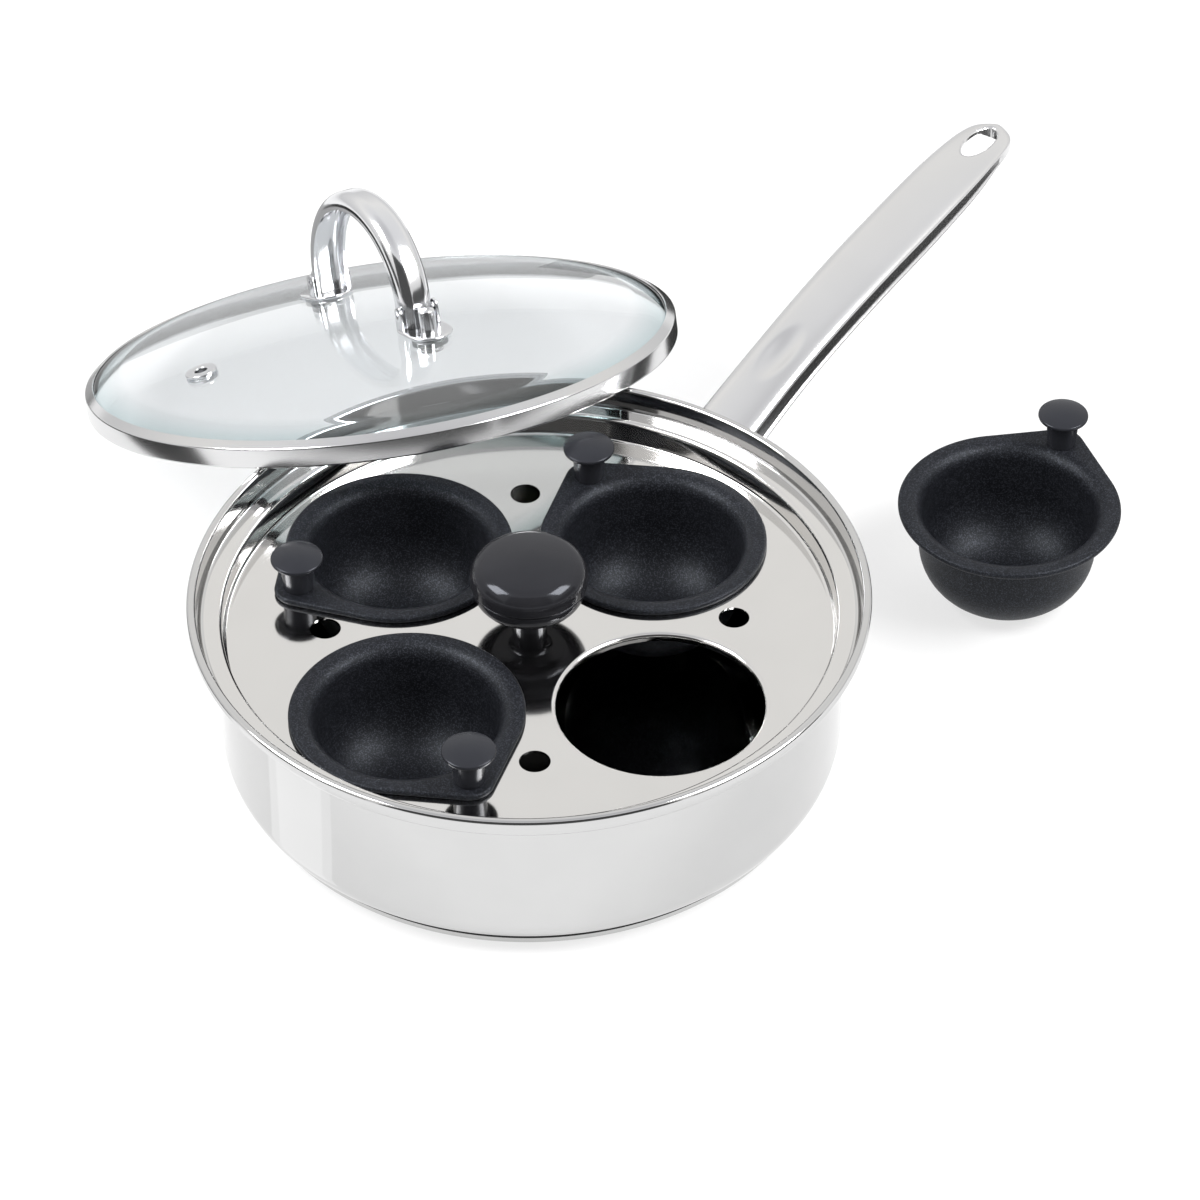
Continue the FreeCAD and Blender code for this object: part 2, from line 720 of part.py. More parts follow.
def lid_screw(place):
    """A screw through washer, glass and foot into the post."""
    low = washer_bottom()
    head = Part.makeCylinder(foot_screw_head_radius, foot_screw_head_height,
                             place + up * (low - foot_screw_head_height))
    top = foot_top() + foot_boss_height - 2 * foot_boss_roof
    shank = Part.makeCylinder(foot_screw_radius, top - low, place + up * low)
    return outward(head.fuse(shank).removeSplitter())


def vent_eyelet():
    """The flanged eyelet that lines the steam vent."""
    grip = glass_thick + 2 * eyelet_gap
    top = eyelet_sheet + eyelet_gap
    bottom = top - grip - 2 * eyelet_sheet
    corners = [(eyelet_bore_radius, bottom, 0), (eyelet_flange_radius, bottom, 0),
               (eyelet_flange_radius, bottom + eyelet_sheet, 0),
               (eyelet_tube_radius, bottom + eyelet_sheet, 0), (eyelet_tube_radius, top - eyelet_sheet, 0),
               (eyelet_flange_radius, top - eyelet_sheet, 0), (eyelet_flange_radius, top, eyelet_sheet / 2),
               (eyelet_bore_radius, top, eyelet_sheet / 2)]
    eyelet = spin(corners)
    eyelet.Placement = vent_setting()
    return eyelet


def lean():
    """Placement of the leaning lid: two points of its foot on the rim, its far edge on the table."""
    reach = band_inner_radius - lean_bite
    half_chord = math.sqrt(band_inner_radius ** 2 - reach ** 2)
    arm = reach + lid_radius - band_corner
    tilt = 0
    for step in range(lean_rounds):
        drop = band_corner * (1 - math.cos(tilt))
        tilt = math.asin((rim_height + lean_clearance - drop) / arm)
    away = math.sqrt(rim_crest_radius ** 2 - half_chord ** 2) + reach * math.cos(tilt)
    height = (lid_radius - band_corner) * math.sin(tilt) + band_corner * (1 - math.cos(tilt))
    turn = Rotation(up, lean_direction).multiply(Rotation(Vector(0, 1, 0), math.degrees(tilt)))
    return Placement(polar(away, lean_direction, height), turn)


def pan_pieces():
    """The pan with its base and handle."""
    return {"pan_body": pan_body(), "base_core": base_core(), "base_cap": base_cap(),
            "pan_handle": pan_handle()}


def tray_pieces():
    """The tray with its knob."""
    return {"tray_plate": tray_plate(), "tray_knob_grip": tray_knob_grip(),
            "tray_knob_cap": tray_knob_cap(), "tray_knob_screw": tray_knob_screw()}


def cup_pieces():
    """The four cups: three in the tray and one on the table."""
    beside = polar(loose_cup_away, loose_cup_direction, cup_depth)
    places = {"loose": Placement(beside, Rotation(up, loose_cup_tip))}
    for name, (hole, tip) in cup_seats.items():
        turn = first_cup_direction + hole * full_turn / cup_count
        seat = polar(cup_circle, turn, tray_height) + seat_shift_shares[name] * cup_hole_gap
        places[name] = Placement(seat, Rotation(up, tip))
    masters = {"cup": egg_cup(), "knob": cup_knob(), "screw": cup_screw()}
    pieces = {}
    for name, place in places.items():
        for piece, master in masters.items():
            solid = master.copy()
            solid.Placement = place.multiply(master.Placement)
            node = f"cup_{name}" if piece == "cup" else f"cup_{name}_{piece}"
            pieces[node] = solid
    return pieces


def lid_pieces():
    """The lid with its handle, feet, screws and vent, leaning on the rim."""
    glass = lid_glass()
    pieces = {"lid_glass": glass, "lid_band": lid_band(), "lid_handle": lid_handle(),
              "lid_vent_eyelet": vent_eyelet()}
    for side, place in foot_places().items():
        pieces[f"lid_foot_{side}"] = lid_foot(place, glass)
        pieces[f"lid_boss_{side}"] = lid_boss(place)
        pieces[f"lid_washer_{side}"] = lid_washer(place, glass)
        pieces[f"lid_screw_{side}"] = lid_screw(place)
    pose = lean()
    for solid in pieces.values():
        solid.Placement = pose.multiply(solid.Placement)
    return pieces


def main():
    """Build every piece and write it to its own file."""
    os.makedirs("parts", exist_ok=True)
    for group in (pan_pieces(), tray_pieces(), cup_pieces(), lid_pieces()):
        for name, solid in group.items():
            solid.exportStep(f"parts/{name}.step")
            print(f"{name}: {solid.ShapeType}, {solid.Volume:.0f} mm3, valid {solid.isValid()}")


if __name__ == "__main__":
    main()
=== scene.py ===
"""Egg poacher pan: a polished pan and tray, four coated cups and a glass lid that leans on the rim."""

import logging
import math
from dataclasses import dataclass
from enum import Enum
from typing import Callable, Sequence, Union

import bmesh
import bpy
from mathutils import Matrix, Vector


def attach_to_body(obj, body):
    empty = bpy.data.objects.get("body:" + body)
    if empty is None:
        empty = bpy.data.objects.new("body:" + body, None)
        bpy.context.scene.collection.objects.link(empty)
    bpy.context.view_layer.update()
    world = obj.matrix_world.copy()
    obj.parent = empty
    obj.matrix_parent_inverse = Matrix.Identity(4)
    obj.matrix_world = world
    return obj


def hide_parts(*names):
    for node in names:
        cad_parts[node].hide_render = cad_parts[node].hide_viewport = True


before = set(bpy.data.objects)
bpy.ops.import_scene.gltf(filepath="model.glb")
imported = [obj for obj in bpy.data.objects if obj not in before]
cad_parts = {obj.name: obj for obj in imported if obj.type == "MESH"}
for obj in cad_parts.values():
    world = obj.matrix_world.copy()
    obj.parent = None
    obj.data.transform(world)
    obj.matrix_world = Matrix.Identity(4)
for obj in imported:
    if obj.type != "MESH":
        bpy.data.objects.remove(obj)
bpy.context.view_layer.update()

LOG = logging.getLogger("egg_poacher_pan")
MM = 0.001
OWN_PLACE = "own_place"
ARC_STEP = math.radians(6.0)
SHARP_ANGLE = math.radians(35.0)
FINE_STEPS = 360
SMALL_STEPS = 96
KNOB_STEPS = 192
DOME_STEPS = 16
MERGE_GAP = 0.0005
TINY = 1e-6
NOISE_MEAN = 0.5

Point = tuple[float, float]
Corner = tuple[float, float, float]
Colour = tuple[float, float, float]
Number = Union[float, "Value"]


class Value:
    """A number on a node's socket, so that sums on it are written as expressions."""

    def __init__(self, graph: "Graph", socket: bpy.types.NodeSocket) -> None:
        """Keep the socket and the graph that holds it."""
        self.graph = graph
        self.socket = socket

    def _sum(self, operation: str, first: Number, second: Number) -> "Value":
        """Add a Math node.

        Args:
            operation: The node's operation.
            first: Its first number.
            second: Its second number.

        Returns:
            The node's result.
        """
        node = self.graph.node("ShaderNodeMath", {"operation": operation}, {0: first, 1: second})
        return self.graph.value(node)

    def __add__(self, other: Number) -> "Value":
        """This plus other."""
        return self._sum("ADD", self, other)

    def __radd__(self, other: Number) -> "Value":
        """Other plus this."""
        return self._sum("ADD", other, self)

    def __sub__(self, other: Number) -> "Value":
        """This less other."""
        return self._sum("SUBTRACT", self, other)

    def __rsub__(self, other: Number) -> "Value":
        """Other less this."""
        return self._sum("SUBTRACT", other, self)

    def __mul__(self, other: Number) -> "Value":
        """This times other."""
        return self._sum("MULTIPLY", self, other)

    def __rmul__(self, other: Number) -> "Value":
        """Other times this."""
        return self._sum("MULTIPLY", other, self)

    def __truediv__(self, other: Number) -> "Value":
        """This over other."""
        return self._sum("DIVIDE", self, other)

    def __rtruediv__(self, other: Number) -> "Value":
        """Other over this."""
        return self._sum("DIVIDE", other, self)

    def __pow__(self, other: Number) -> "Value":
        """This to a power."""
        return self._sum("POWER", self, other)

    def over(self, other: Number) -> "Value":
        """One where this is greater than other, else zero."""
        return self._sum("GREATER_THAN", self, other)

    def turn_from(self, other: "Value") -> "Value":
        """The angle whose sine goes with this and whose cosine goes with other."""
        return self._sum("ARCTAN2", self, other)


class Graph:
    """A node tree in the making."""

    def __init__(self, tree: bpy.types.NodeTree) -> None:
        """Start with an empty tree."""
        self.tree = tree
        tree.nodes.clear()

    def node(self, kind: str, settings: dict | None = None, sockets: dict | None = None) -> bpy.types.Node:
        """Add a node.

        Args:
            kind: The node's type.
            settings: Properties set before the sockets; "stops" gives a ramp's places and colours.
            sockets: Values or links for its inputs, by name or number.

        Returns:
            The new node.
        """
        made = self.tree.nodes.new(kind)
        for name, setting in (settings or {}).items():
            if name == "stops":
                self._set_stops(made.color_ramp, setting)
            else:
                setattr(made, name, setting)
        for key, given in (sockets or {}).items():
            self.feed(made.inputs[key], given)
        return made

    def _set_stops(self, ramp: bpy.types.ColorRamp, stops: Sequence[tuple[float, Colour]]) -> None:
        """Give a colour ramp its stops.

        Args:
            ramp: The ramp, new, with two stops.
            stops: Place and colour of each stop, in order.
        """
        while len(ramp.elements) < len(stops):
            ramp.elements.new(1.0)
        for element, (place, colour) in zip(ramp.elements, stops):
            element.position = place
            element.color = (*colour, 1.0)

    def feed(self, socket: bpy.types.NodeSocket, given: object) -> None:
        """Link a socket to a value, or set it to a plain number, colour or vector.

        Args:
            socket: The input.
            given: What it gets.
        """
        if isinstance(given, Value):
            self.tree.links.new(given.socket, socket)
        elif socket.type == "RGBA":
            socket.default_value = (*given, 1.0)
        else:
            socket.default_value = given

    def value(self, node: bpy.types.Node, output: int | str = 0) -> Value:
        """One of a node's outputs."""
        return Value(self, node.outputs[output])

    def mix(self, factor: Number, first: object, second: object) -> Value:
        """A blend of two colours.

        Args:
            factor: Share of the second colour.
            first: The first colour.
            second: The second colour.

        Returns:
            The blended colour.
        """
        made = self.node("ShaderNodeMix", {"data_type": "RGBA"}, {0: factor, 6: first, 7: second})
        return self.value(made, 2)

    def axes(self, vector: Value) -> tuple[Value, Value, Value]:
        """The three parts of a vector."""
        made = self.node("ShaderNodeSeparateXYZ", None, {0: vector})
        return self.value(made, 0), self.value(made, 1), self.value(made, 2)

    def vector(self, across: Number, along: Number, height: Number) -> Value:
        """A vector from three numbers."""
        return self.value(self.node("ShaderNodeCombineXYZ", None, {0: across, 1: along, 2: height}))

    def noise(self, vector: Value, scale: float, detail: float = 2.0) -> Value:
        """Soft noise between zero and one at a scale in features a unit."""
        made = self.node("ShaderNodeTexNoise", None, {"Vector": vector, "Scale": scale, "Detail": detail})
        return self.value(made, "Fac")

    def from_axis(self, across: Value, along: Value) -> Value:
        """Distance from the upright axis."""
        return (across * across + along * along) ** 0.5

    def bump(self, height: Value, strength: float, distance: float) -> Value:
        """A normal bent by a height."""
        made = self.node("ShaderNodeBump", None,
                         {"Height": height, "Strength": strength, "Distance": distance})
        return self.value(made)


class Grain(Enum):
    """The way a metal's polishing marks run."""

    ROUND = "round"
    LENGTHWISE = "lengthwise"
    EVEN = "even"


def scaled(colour: Colour, share: float) -> Colour:
    """A colour made darker or brighter."""
    return tuple(share * part for part in colour)


@dataclass(frozen=True)
class Finish:
    """A finish with a name, which builds its material once."""

    name: str

    def material(self) -> bpy.types.Material:
        """The finish's material, built at its first use.

        Returns:
            The material.
        """
        found = bpy.data.materials.get(self.name)
        if found:
            return found
        made = bpy.data.materials.new(self.name)
        made.use_nodes = True
        graph = Graph(made.node_tree)
        shader = graph.node("ShaderNodeBsdfPrincipled", None, self.sockets(graph))
        graph.node("ShaderNodeOutputMaterial", None, {"Surface": graph.value(shader)})
        return made

    def sockets(self, graph: Graph) -> dict[str, object]:
        """What the shader's sockets hold, by name."""
        raise NotImplementedError

    def place(self, graph: Graph) -> Value:
        """The point's place on its own piece, in millimetres."""
        made = graph.node("ShaderNodeAttribute", {"attribute_name": OWN_PLACE})
        return graph.value(made, "Vector")


@dataclass(frozen=True)
class Steel(Finish):
    """Polished or brushed steel; marks and clouds a millimetre, depths in millimetres."""

    tint: Colour
    roughness: float
    grain: Grain
    streak: float
    marks: float
    mark_detail: float = 3.0
    mark_depth: float = 0.02
    stretch_share: float = 0.02
    clouds: float = 0.04
    smudge: float = 0.02
    dim_share: float = 0.93
    # painted shade: above this height (mm) the steel is painted near black, a painted shadow for the seam
    # where the pan sits in its base cap
    painted_seam_shade_from: float = 0.0
    painted_seam_shade_tint: Colour = (0.03, 0.03, 0.03)

    def sockets(self, graph: Graph) -> dict[str, object]:
        """Polishing marks along the grain over faint clouds of handling, and a painted shade band above a
        set height.

        Args:
            graph: The material's graph.

        Returns:
            What the shader's sockets hold, by name.
        """
        place = self.place(graph)
        across, along, height = graph.axes(place)
        if self.grain is Grain.ROUND:
            path = graph.vector(graph.from_axis(across, along), along.turn_from(across), height)
        elif self.grain is Grain.LENGTHWISE:
            path = graph.vector(across * self.stretch_share, along, height)
        else:
            path = place
        fine = graph.noise(path, self.marks, self.mark_detail)
        cloud = graph.noise(place, self.clouds)
        ground = graph.mix(cloud, scaled(self.tint, self.dim_share), self.tint)
        # painted shade: a near-black band at the top, standing in for shade in the seam under the pan
        if self.painted_seam_shade_from:
            ground = graph.mix(height.over(self.painted_seam_shade_from), ground, self.painted_seam_shade_tint)
        return {"Metallic": 1.0, "Base Color": ground,
                "Roughness": self.roughness + self.streak * (fine - NOISE_MEAN) + self.smudge * cloud,
                "Normal": graph.bump(fine, self.streak, self.mark_depth * MM)}


@dataclass(frozen=True)
class Nonstick(Finish):
    """A dark coating with a fine metallic sparkle; flakes, grains and clouds a millimetre."""

    ground: Colour = (0.0035, 0.0038, 0.005)
    sparkle: Colour = (0.10, 0.107, 0.130)
    roughness: float = 0.43
    gloss: float = 0.16
    gloss_tint: Colour = (0.86, 0.92, 1.0)
    flakes: float = 3.6
    flake_start: float = 0.75
    flake_floor: float = 0.5
    flake_share: float = 0.6
    flake_metal: float = 0.9
    grains: float = 2.4
    grain_detail: float = 3.0
    grain_roughness: float = 0.16
    grain_strength: float = 0.6
    grain_depth: float = 0.12
    clouds: float = 0.09
    cloud_share: float = 0.04

    def sockets(self, graph: Graph) -> dict[str, object]:
        """Fine orange-peel grain with scattered bright flakes.

        Args:
            graph: The material's graph.

        Returns:
            What the shader's sockets hold, by name.
        """
        place = self.place(graph)
        cells = graph.node("ShaderNodeTexVoronoi", None, {"Vector": place, "Scale": self.flakes})
        picked, _, _ = graph.axes(graph.value(cells, "Color"))
        flake = picked.over(self.flake_start) * (picked - self.flake_floor)
        grain = graph.noise(place, self.grains, self.grain_detail)
        cloud = self.cloud_share * graph.noise(place, self.clouds)
        return {"Specular IOR Level": self.gloss, "Specular Tint": self.gloss_tint,
                "Base Color": graph.mix(flake * self.flake_share + cloud, self.ground, self.sparkle),
                "Metallic": flake * self.flake_metal,
                "Roughness": self.roughness + self.grain_roughness * (grain - NOISE_MEAN) + cloud,
                "Normal": graph.bump(grain, self.grain_strength, self.grain_depth * MM)}


@dataclass(frozen=True)
class KnobPlastic(Finish):
    """Glossy black moulded plastic; clouds and marks a millimetre."""

    ground: Colour
    roughness: float
    gloss: float = 0.24
    gloss_tint: Colour = (0.86, 0.9, 1.0)
    pale_share: float = 1.5
    clouds: float = 0.10
    cloud_detail: float = 3.0
    cloud_roughness: float = 0.05
    marks: float = 3.0
    mark_strength: float = 0.03
    mark_depth: float = 0.02

    def sockets(self, graph: Graph) -> dict[str, object]:
        """Faint moulding clouds and fine wear in the gloss.

        Args:
            graph: The material's graph.

        Returns:
            What the shader's sockets hold, by name.
        """
        place = self.place(graph)
        cloud = graph.noise(place, self.clouds, self.cloud_detail)
        fine = graph.noise(place, self.marks)
        wear = self.cloud_roughness * cloud + self.mark_strength * (fine - NOISE_MEAN)
        return {"Specular IOR Level": self.gloss, "Specular Tint": self.gloss_tint,
                "Base Color": graph.mix(cloud, self.ground, scaled(self.ground, self.pale_share)),
                "Roughness": self.roughness + wear,
                "Normal": graph.bump(fine, self.mark_strength, self.mark_depth * MM)}


@dataclass(frozen=True)
class LidGlass(Finish):
    """Clear toughened glass, greener towards its edge; lengths in millimetres."""

    clear: Colour = (0.825, 0.85, 0.868)
    edge: Colour = (0.42, 0.53, 0.55)
    edge_start: float = 86.0
    edge_width: float = 13.0
    index: float = 1.5
    wipes: float = 0.05
    wipe_roughness: float = 0.012

    def sockets(self, graph: Graph) -> dict[str, object]:
        """A tint that deepens in the shoulder, with faint wiping marks in the gloss.

        Args:
            graph: The material's graph.

        Returns:
            What the shader's sockets hold, by name.
        """
        place = self.place(graph)
        across, along, _ = graph.axes(place)
        past = (graph.from_axis(across, along) - self.edge_start) / self.edge_width
        share = graph.value(graph.node("ShaderNodeClamp", None, {0: past}))
        return {"Transmission Weight": 1.0, "IOR": self.index,
                "Base Color": graph.mix(share, self.clear, self.edge),
                "Roughness": self.wipe_roughness * graph.noise(place, self.wipes)}


@dataclass(frozen=True)
class Rubber(Finish):
    """Soft translucent silicone; blooms a millimetre."""

    ground: Colour = (0.74, 0.75, 0.75)
    pale_share: float = 1.2
    clear_share: float = 0.85
    index: float = 1.41
    roughness: float = 0.5
    blooms: float = 0.8
    bloom_detail: float = 3.0
    bloom_roughness: float = 0.15

    def sockets(self, graph: Graph) -> dict[str, object]:
        """Mostly clear, with a fine bloom.

        Args:
            graph: The material's graph.

        Returns:
            What the shader's sockets hold, by name.
        """
        bloom = graph.noise(self.place(graph), self.blooms, self.bloom_detail)
        return {"Transmission Weight": self.clear_share, "IOR": self.index,
                "Base Color": graph.mix(bloom, self.ground, scaled(self.ground, self.pale_share)),
                "Roughness": self.roughness + self.bloom_roughness * bloom}


class Kit(Enum):
    """The finishes of this object."""

    PAN = Steel("pan_polish", (0.60, 0.60, 0.60), 0.055, Grain.ROUND, streak=0.02, marks=4.0)
    # the base cap's top band above 2.75 mm is painted seam shade, not a colour of the steel
    BASE = Steel("base_polish", (0.62, 0.62, 0.617), 0.10, Grain.ROUND, streak=0.05, marks=5.0, painted_seam_shade_from=2.75)
    TRAY = Steel("tray_polish", (0.70, 0.692, 0.68), 0.075, Grain.EVEN, streak=0.012, marks=1.5)
    HANDLE = Steel("handle_satin", (0.71, 0.71, 0.715), 0.20, Grain.LENGTHWISE, streak=0.05, marks=2.2)
    BAND = Steel("band_polish", (0.66, 0.66, 0.665), 0.15, Grain.ROUND, streak=0.02, marks=4.0)
    GRIP = Steel("grip_chrome", (0.74, 0.745, 0.76), 0.11, Grain.EVEN, streak=0.012, marks=1.0)
    FASTENER = Steel("fastener_zinc", (0.60, 0.60, 0.59), 0.22, Grain.EVEN, streak=0.06, marks=2.0)
    CORE = Steel("spread_metal", (0.78, 0.78, 0.79), 0.38, Grain.EVEN, streak=0.10, marks=1.2)
    CUP = Nonstick("nonstick_coat")
    KNOB = KnobPlastic("knob_gloss", (0.010, 0.010, 0.0115), 0.10)
    CUP_KNOB = KnobPlastic("cup_knob_gloss", (0.012, 0.0125, 0.015), 0.20)
    GLASS = LidGlass("dome_glass")
    WASHER = Rubber("washer_silicone")


def rounded(corners: Sequence[Corner], closed: bool = False) -> list[Point]:
    """Points of an outline whose corners are rounded by arcs.

    Args:
        corners: Place and radius of each corner.
        closed: Whether the last corner joins the first.

    Returns:
        The outline's points in order.
    """
    points: list[Point] = []
    count = len(corners)
    for number, (across, height, radius) in enumerate(corners):
        here = Vector((across, height))
        if radius <= 0 or not (closed or 0 < number < count - 1):
            points.append((across, height))
            continue
        back = (Vector(corners[number - 1][:2]) - here).normalized()
        ahead = (Vector(corners[(number + 1) % count][:2]) - here).normalized()
        half = back.angle(ahead) / 2
        hub = here + (back + ahead).normalized() * (radius / math.sin(half))
        arm = here + back * (radius / math.tan(half)) - hub
        sweep = math.copysign(math.pi - 2 * half, ahead.cross(back))
        steps = max(2, math.ceil(abs(sweep) / ARC_STEP))
        for step in range(steps + 1):
            spot = hub + Matrix.Rotation(sweep * step / steps, 2) @ arm
            points.append((spot.x, spot.y))
    return points


def far_side(path: Sequence[Corner], sheet: float) -> list[Corner]:
    """The corners of a bent sheet's far side, which lies to the right of its path.

    Args:
        path: Corners of the near side.
        sheet: Thickness of the sheet.

    Returns:
        Corners of the far side, in the same order.
    """
    far: list[Corner] = []
    for number, (across, height, radius) in enumerate(path):
        here = Vector((across, height))
        sides = []
        for other, sense in ((number - 1, 1), (number + 1, -1)):
            if 0 <= other < len(path):
                way = (here - Vector(path[other][:2])).normalized() * sense
                sides.append(Vector((way.y, -way.x)))
        if len(sides) == 1:
            far.append((*(here + sides[0] * sheet), 0.0))
            continue
        shift = (sides[0] + sides[1]) * (sheet / (1 + sides[0].dot(sides[1])))
        grown = radius + math.copysign(sheet, sides[0].cross(sides[1])) if radius else 0.0
        far.append((*(here + shift), grown))
    return far


def domed(corners: Sequence[Corner], rise: float) -> list[Point]:
    """A rounded outline closed by a low dome.

    Args:
        corners: The outline up to the dome's edge.
        rise: How far the dome rises from its edge to the axis.

    Returns:
        The outline's points, the last one on the axis.
    """
    radius, height, _ = corners[-1]
    points = rounded([*corners, (0.0, height + 2 * rise, 0.0)])[:-1]
    edge, low = points[-1]
    lift = rise * edge / radius
    shares = [1 - step / DOME_STEPS for step in range(1, DOME_STEPS + 1)]
    return points + [(edge * share, low + lift * (1 - share * share)) for share in shares]


def sheet_outline(path: Sequence[Corner], sheet: float) -> list[Point]:
    """The outline of a bent sheet, from the start of its near side to the start of its far side."""
    return rounded(path) + rounded(far_side(path, sheet))[::-1]


def polar(radius: float, degrees: float, height: float = 0.0) -> Vector:
    """A point at a radius and a direction."""
    turn = math.radians(degrees)
    return Vector((radius * math.cos(turn), radius * math.sin(turn), height))


def turned(degrees: float, axis: str = "Z") -> Matrix:
    """A turn about an axis."""
    return Matrix.Rotation(math.radians(degrees), 4, axis)


def ease(low: float, high: float, at: float) -> float:
    """A smooth step from zero at low to one at high."""
    share = min(1.0, max(0.0, (at - low) / (high - low)))
    return share * share * (3 - 2 * share)


def half_turn(steps: int) -> list[float]:
    """Angles from a quarter turn down to minus a quarter, in even steps."""
    return [math.pi * (0.5 - number / steps) for number in range(steps + 1)]


def full_turn(steps: int) -> list[float]:
    """Angles once round, in even steps."""
    return [math.tau * number / steps for number in range(steps)]


def added(name: str, data: bpy.types.ID) -> bpy.types.Object:
    """Put a new object into the scene.

    Args:
        name: Its name.
        data: Its mesh, curve, light or camera.

    Returns:
        The object.
    """
    made = bpy.data.objects.new(name, data)
    bpy.context.scene.collection.objects.link(made)
    return made


def settled(holder: bpy.types.Object) -> bpy.types.Mesh:
    """An object's shape with its modifiers worked in, as a plain mesh."""
    graph = bpy.context.evaluated_depsgraph_get()
    return bpy.data.meshes.new_from_object(holder.evaluated_get(graph), depsgraph=graph)


def node_tree(name: str, inputs: dict[str, str]) -> tuple[Graph, bpy.types.Node, dict[str, str]]:
    """An empty geometry tree with named inputs.

    Args:
        name: The tree's name.
        inputs: Socket type of each input after the geometry.

    Returns:
        The graph, its input node, and each input's identifier.
    """
    tree = bpy.data.node_groups.new(name, "GeometryNodeTree")
    graph = Graph(tree)
    tree.interface.new_socket("Geometry", in_out="INPUT", socket_type="NodeSocketGeometry")
    keys = {key: tree.interface.new_socket(key, in_out="INPUT", socket_type=kind).identifier
            for key, kind in inputs.items()}
    tree.interface.new_socket("Geometry", in_out="OUTPUT", socket_type="NodeSocketGeometry")
    return graph, graph.node("NodeGroupInput"), keys


def close_tree(graph: Graph, given: bpy.types.Node, shape: Value) -> None:
    """End a geometry tree: real geometry with its material.

    Args:
        graph: The tree's graph.
        given: Its input node.
        shape: What it has made.
    """
    real = graph.node("GeometryNodeRealizeInstances", None, {0: shape})
    dressed = graph.node("GeometryNodeSetMaterial", None,
                         {"Geometry": graph.value(real), "Material": graph.value(given, "Material")})
    graph.node("NodeGroupOutput", None, {0: graph.value(dressed)})


